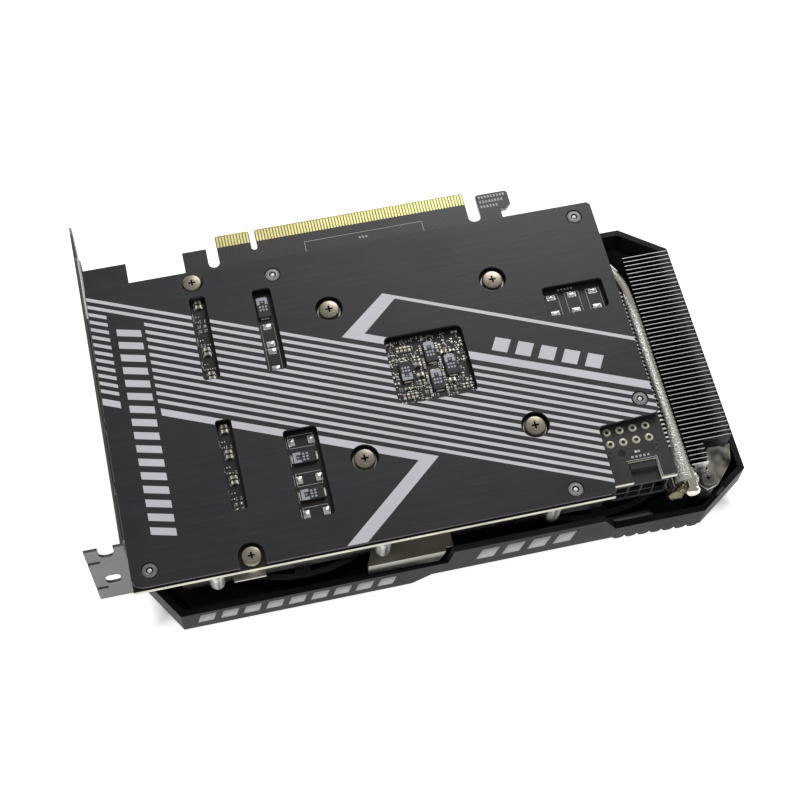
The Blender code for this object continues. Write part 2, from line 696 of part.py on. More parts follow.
def shroud_outline():
    """Corners and height changes, counter-clockwise, each with the wall's foot and its rim."""
    foot = -28.0
    low = -29.5
    high = -25.0
    return [
        (SHROUD_LEFT, -108.0, foot, RIM), (11.9, SHROUD_LOW_Y, low, RIM),
        (84.6, SHROUD_LOW_Y, low, RIM), (91.0, SHROUD_LOW_Y, high, RIM),
        (96.0, SHROUD_LOW_Y, high, RIM), (97.6, SHROUD_LOW_Y, high, RIM_RAISED),
        (146.0, SHROUD_LOW_Y, high, RIM_RAISED), (150.4, SHROUD_LOW_Y, high, RIM),
        (180.2, SHROUD_LOW_Y, foot, RIM), (SHROUD_TAIL, -110.8, foot, RIM),
        (SHROUD_TAIL, -25.3, foot, RIM), (182.7, SHROUD_HIGH_Y, foot, RIM),
        (14.0, SHROUD_HIGH_Y, foot, RIM), (SHROUD_LEFT, -24.0, foot, RIM),
    ]


def shroud_tray(bm):
    """The tray: its sides rise from an inset face, first sloping out and then upright."""
    corners = shroud_outline()
    outline = [(x, y) for x, y, _, _ in corners]
    layers = [
        (inset(outline, FACE_INSET), [FACE] * len(corners)),
        (outline, [foot for _, _, foot, _ in corners]),
        (outline, [rim for _, _, _, rim in corners]),
        (inset(outline, WALL), [rim for _, _, _, rim in corners]),
        (inset(outline, WALL), [foot + 0.6 for _, _, foot, _ in corners]),
        (inset(outline, FACE_INSET + WALL), [FLOOR] * len(corners)),
    ]
    rows = [[bm.verts.new((x, y, z)) for (x, y), z in zip(loop, heights)] for loop, heights in layers]
    count = len(corners)
    for low, high in zip(rows, rows[1:]):
        for i in range(count):
            j = (i + 1) % count
            bm.faces.new((low[i], low[j], high[j], high[i]))
    bm.faces.new(rows[0])
    bm.faces.new(rows[-1])
    bmesh.ops.triangulate(bm, faces=[face for face in bm.faces if len(face.verts) == 4])


def shroud(card):
    bm = bmesh.new()
    shroud_tray(bm)
    made = finish_mesh("fan_shroud", bm, SHROUD, card)
    for side, (x, y) in FAN_CENTRES.items():
        collar = prism(f"{side}_collar_tool", SHROUD, card, [circle(x, y, COLLAR_R, 48)],
                       FACE + 0.9, COLLAR_TOP)
        combine(made, collar, "UNION")
    boss = prism("tail_boss_tool", SHROUD, card, [circle(*TAIL_SCREW, 3.0, 12)], FACE + 0.9, -11.5)
    combine(made, boss, "UNION")
    bore = prism("boss_bore_tool", SHROUD, card, [circle(*TAIL_SCREW, 1.6, 10)], -17.0, -10.0)
    combine(made, bore, "DIFFERENCE")
    for side, (x, y) in FAN_CENTRES.items():
        opening = prism(f"{side}_opening_tool", SHROUD, card, [circle(x, y, OPENING_R, 48)],
                        FACE - 1.0, -20.0)
        combine(made, opening, "DIFFERENCE")


# ---------------------------------------------------------------- fans

ARM_COUNT = 3
ARM_HALF = 2.6
DISC_R = 13.5
POLES = 9


def frame_outline(arm_first):
    """Outer circle and the three air gaps of a fan frame: a ring, three arms and a hub disc."""
    ring_in = OPENING_R + 0.2
    gaps = []
    for i in range(ARM_COUNT):
        start = arm_first + tau * i / ARM_COUNT
        end = start + tau / ARM_COUNT
        wide = ARM_HALF / ring_in
        narrow = ARM_HALF / DISC_R
        outer = [(ring_in, start + wide + (end - start - 2 * wide) * k / 10) for k in range(11)]
        inner = [(DISC_R, end - narrow - (end - start - 2 * narrow) * k / 4) for k in range(5)]
        gaps.append([(r * cos(a), r * sin(a)) for r, a in outer + inner])
    return [circle(0, 0, COLLAR_R + 0.4, 40)] + gaps


def fan_frame(side, card, centre, arm_first):
    """The stator carrier: it rests on the shroud's collar and holds the motor by three arms."""
    made = prism(f"{side}_fan_frame", FAN_FRAME, card, frame_outline(arm_first), -25.9, -24.2,
                 location=(*centre, 0))
    walls = [circle(0, 0, TUBE_R, 16), circle(0, 0, TUBE_R - TUBE_WALL, 16)]
    tube = prism(f"{side}_tube_tool", FAN_FRAME, card, walls, -32.8, -25.0, location=(*centre, 0))
    combine(made, tube, "UNION")


def stator(side, card, centre):
    root = 8.4
    outline = []
    for i in range(POLES):
        for r, share in ((root, 0.0), (root, 0.3), (STATOR_R, 0.32), (STATOR_R, 0.64), (STATOR_R, 0.96)):
            angle = tau * i / POLES + share * tau / POLES
            outline.append((r * cos(angle), r * sin(angle)))
    prism(f"{side}_stator", COIL, card, [outline, circle(0, 0, TUBE_R + 0.4, 16)],
          STATOR_LOW, STATOR_HIGH, location=(*centre, 0))


def bearing(side, card, centre):
    profile = [(BEARING_R, -26.3), (4.2, -26.3), (4.2, -32.6), (BEARING_R, -32.6)]
    lathe(f"{side}_bearing", BRONZE, card, profile, (*centre, 0), 16)


def blade(bm, start):
    """One swept blade from inside the hub wall to inside the rim ring."""
    spans = 4
    chords = 3
    grids = []
    for face in (BLADE_SKIN, -BLADE_SKIN):
        grid = []
        for s in range(spans + 1):
            share = s / spans
            r = HUB_R - 0.5 + (RING_R - 0.6 - HUB_R + 0.5) * share
            sweep = BLADE_SWEEP * share ** 1.5
            width = 0.46 - 0.13 * share
            row = []
            for c in range(chords + 1):
                t = c / chords
                angle = start + sweep + width * (t - 0.5)
                z = BLADE_LOW + BLADE_RISE * t + 0.9 * sin(pi * t) + face
                row.append(bm.verts.new((r * cos(angle), r * sin(angle), z)))
            grid.append(row)
        grids.append(grid)
    upper, lower = grids
    for s in range(spans):
        for c in range(chords):
            bm.faces.new((upper[s][c], upper[s][c + 1], upper[s + 1][c + 1], upper[s + 1][c]))
            bm.faces.new((lower[s][c], lower[s + 1][c], lower[s + 1][c + 1], lower[s][c + 1]))
    rim = [(s, 0) for s in range(spans)] + [(spans, c) for c in range(chords)]
    rim += [(s, chords) for s in range(spans, 0, -1)] + [(0, c) for c in range(chords, 0, -1)]
    for (s, c), (s2, c2) in zip(rim, rim[1:] + rim[:1]):
        bm.faces.new((upper[s][c], upper[s2][c2], lower[s2][c2], lower[s][c]))


def rotor(side, axis):
    """Hub cup, swept blades and the rim ring that ties their tips together."""
    bm = bmesh.new()
    inside = HUB_R - HUB_WALL
    hub = [(0, -34.7), (14.0, -34.7), (17.2, -34.2), (HUB_R, -33.2), (HUB_R, -26.5), (inside, -26.5),
           (inside, -33.3), (0, -33.3)]
    ring = [(RING_R - RING_WALL, -33.9), (RING_R, -33.9), (RING_R, -27.3), (RING_R - RING_WALL, -27.3)]
    turn(bm, hub, 22)
    turn(bm, ring, 36)
    made = finish_mesh(f"{side}_fan_rotor", bm, ROTOR, axis)
    bm = bmesh.new()
    for i in range(BLADE_COUNT):
        blade(bm, tau * i / BLADE_COUNT)
    blades = finish_mesh(f"{side}_blades_tool", bm, ROTOR, axis)
    combine(made, blades, "UNION")


def fan(side, card, centre, arm_first):
    fan_frame(side, card, centre, arm_first)
    stator(side, card, centre)
    bearing(side, card, centre)
    axis = bpy.data.objects.new(f"{side}_fan_axis", None)
    bpy.context.scene.collection.objects.link(axis)
    axis.parent = card
    axis.location = Vector((*centre, 0)) * MM
    rotor(side, axis)
    shaft = [(0, -26.6), (SHAFT_R - 0.2, -26.6), (SHAFT_R, -26.9), (SHAFT_R, -33.0), (0, -33.0)]
    lathe(f"{side}_fan_shaft", SHAFT, axis, shaft, steps=16)
    outside = HUB_R - HUB_WALL - GAP
    magnet = [(MAGNET_IN, -26.8), (outside, -26.8), (outside, -31.8), (MAGNET_IN, -31.8)]
    lathe(f"{side}_fan_magnet", MAGNET, axis, magnet, steps=28)


# ---------------------------------------------------------------- the whole card

def build():
    for obj in list(bpy.data.objects):
        bpy.data.objects.remove(obj, do_unlink=True)
    card = bpy.data.objects.new("card", None)
    bpy.context.scene.collection.objects.link(card)
    card.location = Vector((-CARD_MIDDLE[0], -CARD_MIDDLE[1], -FACE)) * MM
    board(card)
    backplate(card)
    standoffs(card)
    screws(card)
    bracket(card)
    ports(card)
    power_connector(card)
    processor(card)
    passives(card)
    fan_header(card)
    cold_plate(card)
    heat_pipes(card)
    fin_stacks(card)
    mounting_frame(card)
    braces(card)
    side_flange(card)
    tail_bracket(card)
    shroud(card)
    fan("left", card, FAN_CENTRES["left"], 0.5)
    fan("right", card, FAN_CENTRES["right"], 2.64)


build()
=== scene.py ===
"""The looks of a two-slot graphics card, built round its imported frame.

Places are in millimetres in the board's own frame: x from the bracket to the tail, y negative from
the gold edge to the free edge, z up from the board's back. at() turns them into the row's metres.
"""
import random
from math import cos, pi, radians, sin, tau

import bmesh
import bpy
from mathutils import Euler, Matrix, Vector, noise


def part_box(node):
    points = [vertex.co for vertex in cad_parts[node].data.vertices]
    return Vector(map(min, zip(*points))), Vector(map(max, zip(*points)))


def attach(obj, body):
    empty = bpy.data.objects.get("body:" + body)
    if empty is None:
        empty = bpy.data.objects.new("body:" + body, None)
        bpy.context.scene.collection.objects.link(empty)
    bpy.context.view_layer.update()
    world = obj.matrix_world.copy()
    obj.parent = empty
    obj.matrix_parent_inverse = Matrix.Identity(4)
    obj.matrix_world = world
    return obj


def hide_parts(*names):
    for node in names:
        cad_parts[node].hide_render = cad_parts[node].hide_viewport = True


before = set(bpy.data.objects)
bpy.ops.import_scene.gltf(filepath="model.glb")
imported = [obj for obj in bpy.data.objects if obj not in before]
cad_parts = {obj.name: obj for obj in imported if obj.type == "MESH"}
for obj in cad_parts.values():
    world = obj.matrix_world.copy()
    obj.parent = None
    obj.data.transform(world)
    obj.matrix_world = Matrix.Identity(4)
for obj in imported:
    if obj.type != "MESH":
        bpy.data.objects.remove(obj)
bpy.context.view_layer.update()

MM = 0.001
BOARD_LOW, BOARD_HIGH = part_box("pcb")
ORIGIN = Vector((BOARD_LOW.x, BOARD_HIGH.y, BOARD_HIGH.z))
CARD = "card"
LEVEL = 0.9999  # a face whose normal's Z is over this lies flat


def at(x, y, z):
    return ORIGIN + Vector((x, y, z)) * MM


def local(point):
    """A point of the row's frame in the board's millimetres."""
    return (Vector(point) - ORIGIN) / MM


def span(node):
    """A CAD node's lowest and highest corners in the board's millimetres."""
    low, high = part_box(node)
    return local(low), local(high)


def centre_of(node):
    """The middle of a CAD node's box in the board's millimetres."""
    low, high = span(node)
    return (low + high) / 2


# ---------------------------------------------------------------- sizes

BOARD_THICK = (BOARD_HIGH.z - BOARD_LOW.z) / MM
PLATE_LOW, PLATE_HIGH = span("backplate")
PLATE_TOP = PLATE_HIGH.z
PLATE_UNDER = PLATE_LOW.z
BOARD_FREE_EDGE = -118.9
BOARD_TAIL = span("pcb")[1].x
PRINT_THICK = 0.05
SILK_THICK = 0.03
FACE = span("fan_shroud")[0].z

WALL_Y = span("fan_shroud")[0].y
RIM_Z = -18.0

GPU_SCREWS = [centre_of(f"gpu_screw_{i}") for i in range(1, 5)]
BRACE_SCREWS = [centre_of(f"brace_screw_{side}") for side in ("upper", "lower")]
STANDOFFS = [centre_of(f"backplate_standoff_{i}") for i in range(1, 6)]
SCREW_HOLE_R = 4.4
BOARD_HOLE_R = 1.75
STANDOFF_HOLE_R = 2.6

WINDOWS = {
    "slot_a": (32.3, -54.2, 37.5, -23.7, 1.2),
    "slot_b": (52.6, -55.2, 58.7, -24.8, 1.5),
    "slot_c": (33.1, -100.1, 37.9, -69.1, 1.2),
    "slot_d": (52.9, -107.4, 63.4, -76.9, 1.6),
    "gpu": (90.6, -75.6, 116.0, -51.0, 2.4),
    "memory": (145.1, -54.3, 165.3, -43.4, 1.6),
}

FAN_ROW = -68.5
FANS = {"left": 52.5, "right": 147.5}
PIPE_R = 2.5
PIPE_Z = centre_of("heat_pipe_1").z
OUTER_PIPE_X = 175.5


# ---------------------------------------------------------------- materials

class Look:
    """A Principled material whose colour, roughness and bump come from nodes."""

    def __init__(self, name, colour, roughness, metallic=0.0, **sockets):
        self.made = bpy.data.materials.new(name)
        self.made.use_nodes = True
        self.nodes = self.made.node_tree.nodes
        self.links = self.made.node_tree.links
        self.shader = self.nodes["Principled BSDF"]
        self.colour = (*colour, 1.0)
        self.shader.inputs["Base Color"].default_value = self.colour
        self.shader.inputs["Roughness"].default_value = roughness
        self.shader.inputs["Metallic"].default_value = metallic
        for socket, value in sockets.items():
            self.shader.inputs[socket.replace("_", " ")].default_value = value
        self.roughness = roughness
        self.height = None

    def node(self, kind, **values):
        made = self.nodes.new("ShaderNode" + kind)
        for key, value in values.items():
            if hasattr(made, key):
                setattr(made, key, value)
            else:
                made.inputs[key.replace("_", " ")].default_value = value
        return made

    def noise(self, stretch, detail=3.0):
        """A noise over the object's own place; stretch gives its grains per metre along X, Y and Z."""
        place = self.node("TexCoord")
        mapping = self.node("Mapping")
        mapping.inputs["Scale"].default_value = stretch
        grain = self.node("TexNoise")
        grain.inputs["Scale"].default_value = 1.0
        grain.inputs["Detail"].default_value = detail
        self.links.new(place.outputs["Object"], mapping.inputs["Vector"])
        self.links.new(mapping.outputs["Vector"], grain.inputs["Vector"])
        return grain.outputs["Fac"]

    def ranged(self, value, low, high, new_low, new_high):
        made = self.node("MapRange")
        sockets = {"From Min": low, "From Max": high, "To Min": new_low, "To Max": new_high}
        for socket, number in sockets.items():
            made.inputs[socket].default_value = number
        self.links.new(value, made.inputs["Value"])
        return made.outputs["Result"]

    def vary_colour(self, value, dark, light):
        """The base colour runs between two shares of itself as value runs from 0.3 to 0.7."""
        ramp = self.node("ValToRGB")
        ramp.color_ramp.elements[0].position = 0.3
        ramp.color_ramp.elements[1].position = 0.7
        ramp.color_ramp.elements[0].color = (*(min(1.0, c * dark) for c in self.colour[:3]), 1.0)
        ramp.color_ramp.elements[1].color = (*(min(1.0, c * light) for c in self.colour[:3]), 1.0)
        self.links.new(value, ramp.inputs["Fac"])
        self.links.new(ramp.outputs["Color"], self.shader.inputs["Base Color"])
        return self

    def vary_roughness(self, value, spread):
        result = self.ranged(value, 0.3, 0.7, max(0.03, self.roughness - spread), self.roughness + spread)
        self.links.new(result, self.shader.inputs["Roughness"])
        return self

    def bump(self, value, depth_mm, strength=1.0):
        made = self.node("Bump")
        made.inputs["Distance"].default_value = depth_mm * MM
        made.inputs["Strength"].default_value = strength
        self.links.new(value, made.inputs["Height"])
        if self.height is not None:
            self.links.new(self.height, made.inputs["Normal"])
        self.height = made.outputs["Normal"]
        self.links.new(self.height, self.shader.inputs["Normal"])
        return self


def brushed(name, colour, roughness, metallic, stretch, depth, dark=0.85, light=1.15, **sockets):
    """Fine parallel scratches, long along the axis with the smallest stretch."""
    look = Look(name, colour, roughness, metallic, **sockets)
    grain = look.noise(stretch, detail=4.0)
    cloud = look.noise((40, 40, 40), detail=2.0)
    return look.vary_colour(grain, dark, light).vary_roughness(cloud, 0.06).bump(grain, depth, 0.6).made


def grained(name, colour, roughness, metallic=0.0, scale=2500, depth=0.01, dark=0.9, light=1.1, **sockets):
    """An even fine grain, as moulded plastic, plated steel or ceramic has."""
    look = Look(name, colour, roughness, metallic, **sockets)
    grain = look.noise((scale, scale, scale), detail=3.0)
    cloud = look.noise((60, 60, 60), detail=2.0)
    return look.vary_colour(cloud, dark, light).vary_roughness(cloud, 0.05).bump(grain, depth, 0.5).made


def solder_like(name, colour, roughness=0.32, metallic=1.0, grain=900):
    """Frozen solder: bright, dimpled and uneven."""
    look = Look(name, colour, roughness, metallic)
    lumps = look.noise((grain, grain, grain), detail=4.0)
    return look.vary_colour(lumps, 0.7, 1.15).vary_roughness(lumps, 0.15).bump(lumps, 0.12).made


def painted_reflection_sheet(name, colour):
    """Polished sheet with slow waves in its bump, and bright and dark patches painted into its colour as
    reflections.
    """
    look = Look(name, colour, 0.14, 0.95)
    waves = look.noise((260, 190, 190), detail=1.5)
    return look.vary_colour(waves, 0.1, 1.35).bump(waves, 0.5).made


LOOKS = {
    "plate": brushed("plate_anodised", (0.033, 0.033, 0.037), 0.42, 0.33, (50, 1900, 900), 0.003, 0.82, 1.18),
    "print": grained("plate_print", (0.82, 0.8, 0.86), 0.45, 0.0, 1800, 0.004, 0.95, 1.04),
    "mask": grained("board_mask_black", (0.03, 0.028, 0.026), 0.38, 0.0, 1500, 0.004, 0.8, 1.25),
    "mask_trace": grained("board_mask_trace", (0.048, 0.045, 0.04), 0.34, 0.0, 1500, 0.004, 0.9, 1.2),
    "laminate": grained("board_laminate", (0.82, 0.79, 0.66), 0.55, 0.0, 3000, 0.01, 0.75, 1.15),
    "silk": grained("board_silk", (0.62, 0.62, 0.6), 0.6, 0.0, 4000, 0.006, 0.85, 1.05),
    "gold": grained("contact_gold", (0.95, 0.87, 0.4), 0.36, 0.55, 1200, 0.004, 0.94, 1.06),
    "gold_edge": grained("contact_bevel", (0.5, 0.47, 0.16), 0.5, 0.2, 2500, 0.01, 0.9, 1.1),
    "gold_gap": grained("contact_gap", (0.24, 0.21, 0.06), 0.5, 0.2, 2500, 0.01, 0.85, 1.1),
    "bracket": brushed("bracket_plated_steel", (0.155, 0.154, 0.15), 0.34, 0.9, (1200, 60, 1200), 0.003,
                       0.88, 1.1),
    "port": grained("port_shell_steel", (0.58, 0.57, 0.55), 0.28, 1.0, 800, 0.004),
    "port_tongue": grained("port_tongue_plastic", (0.012, 0.012, 0.012), 0.45),
    "connector": grained("connector_nylon", (0.03, 0.03, 0.036), 0.36, 0.0, 2200, 0.02),
    "screw": grained("screw_dark_nickel", (0.34, 0.3, 0.24), 0.34, 0.85, 900, 0.01, 0.8, 1.15),
    "black_screw": grained("screw_black_zinc", (0.13, 0.13, 0.125), 0.35, 0.6, 1500, 0.006),
    "standoff": grained("standoff_steel", (0.36, 0.36, 0.36), 0.42, 0.5, 1800, 0.02, 0.75, 1.2),
    "pipe": brushed("pipe_nickel_plate", (0.72, 0.69, 0.6), 0.12, 1.0, (500, 60, 500), 0.004, 0.92, 1.06),
    "fin": brushed("fin_nickel_sheet", (0.98, 0.96, 0.9), 0.4, 0.3, (60, 900, 900), 0.003, 0.88, 1.06),
    # fin sides: near black, painted shade of the narrow gaps between fins
    "fin_painted_shade": grained("fin_sheet_painted_shade", (0.012, 0.0115, 0.01), 0.6, 0.3, 900, 0.003, 0.8, 1.1),
    "wall_print": grained("wall_print_grey", (0.34, 0.34, 0.35), 0.5, 0.1, 1800, 0.004, 0.95, 1.04),
    "solder": solder_like("solder_bright", (0.8, 0.79, 0.75)),
    # brown flux-stained solder, also painted darker as shade
    "flux_stain_and_shade": solder_like("solder_stain_and_painted_shade", (0.2, 0.17, 0.11)),
    "strip": solder_like("solder_strip_dimpled", (0.74, 0.73, 0.69), 0.34, 0.7, 2000),
    "frame": grained("frame_sprung_steel", (0.66, 0.64, 0.57), 0.36, 0.7, 1500, 0.004, 0.85, 1.1),
    # polished bracket: its bright and dark patches are painted reflections
    "polished": painted_reflection_sheet("bracket_sheet_painted_reflection", (0.56, 0.53, 0.46)),
    # steel cans with streaks from near black to bright painted along them as reflections
    "can": brushed("capacitor_can_painted_reflection", (1.0, 0.98, 0.92), 0.2, 0.3, (800, 800, 30), 0.02, 0.02, 1.0),
    "flange": grained("flange_sprung_steel", (0.86, 0.85, 0.77), 0.42, 0.25, 1500, 0.004, 0.9, 1.06),
    # the flange's own steel, painted darker as shade under the board
    "flange_shade": grained("flange_steel_painted_shade", (0.27, 0.25, 0.19), 0.4, 0.3, 150, 0.004, 0.5, 1.4),
    # near white standoff core: a painted highlight
    "core_painted_highlight": grained("standoff_core_painted_highlight", (0.95, 0.95, 0.93), 0.3, 0.1, 1500, 0.01),
    "joint": grained("joint_tin", (0.76, 0.72, 0.55), 0.34, 0.3, 1200, 0.05, 0.85, 1.1),
    # darker solder mask: painted shade inside the plate's windows
    "mask_painted_shade": grained("board_mask_painted_shade", (0.011, 0.01, 0.0095), 0.45, 0.0, 1500, 0.004, 0.8, 1.25),
    "ferrite": grained("inductor_ferrite_grey", (0.07, 0.07, 0.07), 0.6, 0.0, 2600, 0.05),
    "substrate": grained("package_laminate", (0.03, 0.07, 0.04), 0.45),
    "silicon": grained("die_silicon", (0.3, 0.32, 0.35), 0.12, 0.7, 300, 0.001),
    "epoxy": grained("chip_epoxy", (0.024, 0.024, 0.025), 0.5, 0.0, 3500, 0.01),
    "copper": brushed("plate_copper", (0.75, 0.4, 0.24), 0.28, 1.0, (60, 2500, 2500), 0.003),
    "nylon": grained("header_nylon_cream", (0.7, 0.68, 0.6), 0.5),
    "shroud": grained("shroud_abs", (0.009, 0.0087, 0.0094), 0.5, 0.0, 2400, 0.03, 0.92, 1.08,
                      Specular_IOR_Level=0.16),
    "shroud_dark": grained("shroud_inside", (0.011, 0.011, 0.011), 0.5, 0.0, 2400, 0.02, 0.9, 1.1),
    "glossy": grained("shroud_gloss_trim", (0.09, 0.09, 0.09), 0.16, 0.0, 1200, 0.004, 0.9, 1.1),
    "fan_frame": grained("fan_frame_pbt", (0.026, 0.026, 0.026), 0.52, 0.0, 2400, 0.03),
    "fan": grained("fan_pbt", (0.015, 0.015, 0.016), 0.36, 0.0, 2000, 0.012, 0.9, 1.1),
    "coil": brushed("coil_enamelled_copper", (0.5, 0.2, 0.08), 0.3, 0.9, (4200, 4200, 300), 0.05, 0.7, 1.2),
    "bronze": grained("bearing_bronze_sintered", (0.5, 0.34, 0.16), 0.35, 1.0, 2500, 0.02),
    "shaft": brushed("shaft_ground_steel", (0.66, 0.66, 0.67), 0.16, 1.0, (200, 200, 3000), 0.002),
    "magnet": grained("magnet_ferrite_rubber", (0.055, 0.05, 0.046), 0.7, 0.0, 2200, 0.03),
    "ceramic": grained("ceramic_tan", (0.26, 0.2, 0.11), 0.5, 0.0, 3000, 0.01, 0.85, 1.15),
    "terminal": solder_like("terminal_tin", (0.86, 0.85, 0.8)),
    "cap_mark": grained("chip_mark_blue_grey", (0.5, 0.53, 0.6), 0.5),
    # black for recesses, holes and gaps: painted shade
    "dark": grained("hole_painted_shade", (0.006, 0.006, 0.006), 0.7),
    "peg": grained("peg_smoked_nylon", (0.07, 0.07, 0.07), 0.2, 0.0, 900, 0.01),
    "lamination": brushed("stator_lamination", (0.3, 0.3, 0.32), 0.4, 1.0, (60, 60, 4000), 0.02),
}


# ---------------------------------------------------------------- mesh tools

def rectangle(x0, y0, x1, y1):
    return [(x0, y0), (x1, y0), (x1, y1), (x0, y1)]


def centred(x, y, wide, tall):
    return rectangle(x - wide / 2, y - tall / 2, x + wide / 2, y + tall / 2)


def circle(x, y, r, steps=48):
    return [(x + r * cos(tau * i / steps), y + r * sin(tau * i / steps)) for i in range(steps)]


def rounded(corners, radius, steps=6):
    """The outline with each corner replaced by an arc."""
    made = []
    count = len(corners)
    for i in range(count):
        before, here, after = (Vector(corners[(i + k) % count]) for k in (-1, 0, 1))
        start = here + (before - here).normalized() * radius
        end = here + (after - here).normalized() * radius
        for k in range(steps + 1):
            t = k / steps
            made.append(tuple(start * (1 - t) ** 2 + here * 2 * t * (1 - t) + end * t ** 2))
    return made


def in_row_frame(bm):
    for vert in bm.verts:
        vert.co = at(*vert.co)


def mesh_of(name, bm):
    """A new mesh from a bmesh, which is freed."""
    mesh = bpy.data.meshes.new(name)
    bm.to_mesh(mesh)
    bm.free()
    return mesh


def linked(name, data):
    """A new object in the scene."""
    obj = bpy.data.objects.new(name, data)
    bpy.context.scene.collection.objects.link(obj)
    return obj


def shade(mesh, angle):
    """Smooth shading with sharp creases; level faces stay flat, so that a big sheet shows no false slope."""
    mesh.shade_smooth()
    mesh.set_sharp_from_angle(angle=radians(angle))
    for polygon in mesh.polygons:
        if abs(polygon.normal.z) > LEVEL:
            polygon.use_smooth = False


def settle(name, mesh, looks, body, nodes, angle=30):
    """Make the object of a finished mesh, hang it on its body's empty, and hide the CAD nodes it stands for.
    """
    for look in looks:
        mesh.materials.append(LOOKS[look])
    shade(mesh, angle)
    obj = linked(name, mesh)
    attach(obj, body)
    if nodes:
        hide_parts(*nodes)
    return obj


def piece(name, bm, looks, nodes=(), body=CARD, angle=30):
    """A piece from a bmesh in the board's millimetres."""
    bmesh.ops.recalc_face_normals(bm, faces=bm.faces)
    in_row_frame(bm)
    return settle(name, mesh_of(name, bm), looks, body, nodes, angle)


def loft(bm, rings, look=0):
    """A closed solid through rings of points, each with as many points as the next."""
    rings = [[bm.verts.new(point) for point in ring] for ring in rings]
    faces = [bm.faces.new(rings[0][::-1]), bm.faces.new(rings[-1])]
    for a, b in zip(rings, rings[1:]):
        for i in range(len(a)):
            j = (i + 1) % len(a)
            faces.append(bm.faces.new((a[i], a[j], b[j], b[i])))
    for face in faces:
        face.material_index = look
    return faces


def prism(bm, outline, low, high, look=0):
    """An upright solid over one outline without holes."""
    return loft(bm, [[(x, y, z) for x, y in outline] for z in (low, high)], look)


def wall_block(bm, outline, y_out, y_in):
    """A solid whose outline is in (x, z), between two heights in Y."""
    loft(bm, [[(x, y, z) for x, z in outline] for y in (y_out, y_in)])


def soft_box(bm, low, high, look=0, edge=0.06, segments=2):
    """A box with rounded edges."""
    faces = prism(bm, rectangle(low[0], low[1], high[0], high[1]), low[2], high[2], look)
    edges = {e for face in faces for e in face.edges}
    if edge:
        bmesh.ops.bevel(bm, geom=list(edges), offset=edge, segments=segments, affect="EDGES", material=-1)


def turned(bm, profile, middle=(0, 0, 0), steps=48, look=0):
    """A solid of revolution about Z from a closed profile of (radius, height)."""
    rows = []
    for r, z in profile:
        points = circle(0, 0, r, steps) if r else [(0, 0)]
        rows.append([bm.verts.new((middle[0] + x, middle[1] + y, middle[2] + z)) for x, y in points])
    for a, b in zip(rows, rows[1:] + rows[:1]):
        if len(a) == 1 and len(b) == 1:
            continue
        for i in range(steps):
            j = (i + 1) % steps
            corners = [a[i % len(a)], a[j % len(a)], b[j % len(b)], b[i % len(b)]]
            bm.faces.new(list(dict.fromkeys(corners))).material_index = look


def flat_sheet(name, outlines, low, high, bevel, looks, nodes=(), rim=3):
    """A flat sheet with holes and rounded edges, from a filled curve in the board's millimetres."""
    curve = bpy.data.curves.new(name + "_curve", "CURVE")
    curve.dimensions = "2D"
    curve.fill_mode = "BOTH"
    curve.extrude = (high - low) / 2 - bevel
    curve.bevel_depth = bevel
    curve.bevel_resolution = rim
    curve.offset = -bevel
    for outline in outlines:
        spline = curve.splines.new("POLY")
        spline.points.add(len(outline) - 1)
        for point, (x, y) in zip(spline.points, outline):
            point.co = (x, y, 0, 1)
        spline.use_cyclic_u = True
    guide = linked(name + "_guide", curve)
    graph = bpy.context.evaluated_depsgraph_get()
    mesh = bpy.data.meshes.new_from_object(guide.evaluated_get(graph))
    bpy.data.objects.remove(guide)
    bpy.data.curves.remove(curve)
    bm = bmesh.new()
    bm.from_mesh(mesh)
    bpy.data.meshes.remove(mesh)
    for vert in bm.verts:
        vert.co.z += (low + high) / 2
    bmesh.ops.remove_doubles(bm, verts=bm.verts, dist=1e-5)
    return piece(name, bm, looks, nodes)


def carve(obj, cutter_bm):
    """Cut a piece with a bmesh in the board's millimetres."""
    bmesh.ops.recalc_face_normals(cutter_bm, faces=cutter_bm.faces)
    in_row_frame(cutter_bm)
    mesh = mesh_of("cutter", cutter_bm)
    mesh.shade_smooth()
    cutter = linked("cutter", mesh)
    modifier = obj.modifiers.new("cut", "BOOLEAN")
    modifier.object = cutter
    graph = bpy.context.evaluated_depsgraph_get()
    cut = bpy.data.meshes.new_from_object(obj.evaluated_get(graph))
    obj.modifiers.remove(modifier)
    old = obj.data
    obj.data = cut
    bpy.data.objects.remove(cutter)
    bpy.data.meshes.remove(mesh)
    bpy.data.meshes.remove(old)
    shade(cut, 30)


def dressed(node, looks, round_mm, cutter=None):
    """A finished copy of a CAD node: its flat facets joined and its edges rounded."""
    bm = bmesh.new()
    bm.from_mesh(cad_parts[node].data)
    bmesh.ops.remove_doubles(bm, verts=bm.verts, dist=2e-6)
    bmesh.ops.dissolve_limit(bm, angle_limit=radians(0.8), verts=bm.verts, edges=bm.edges)
    mesh = mesh_of(f"{node}_finish", bm)
    mesh.materials.clear()
    for polygon in mesh.polygons:
        polygon.material_index = 0
    obj = settle(f"{node}_finish", mesh, looks, CARD, (node,), 60)
    if cutter:
        carve(obj, cutter)
    modifier = obj.modifiers.new("round_edges", "BEVEL")
    modifier.width = round_mm * MM
    modifier.segments = 2
    modifier.limit_method = "ANGLE"
    modifier.angle_limit = radians(35)
    modifier.harden_normals = True
    return obj


# ---------------------------------------------------------------- backplate and its print

def notch(x, y, r, edge):
    """An arc-ended notch from the outline's edge at height edge, as points from left to right."""
    down = 1 if edge < y else -1
    steps = 16
    arc = [pi - down * pi * i / steps for i in range(steps + 1)]
    return [(x - r, edge)] + [(x + r * cos(a), y + r * sin(a)) for a in arc] + [(x + r, edge)]


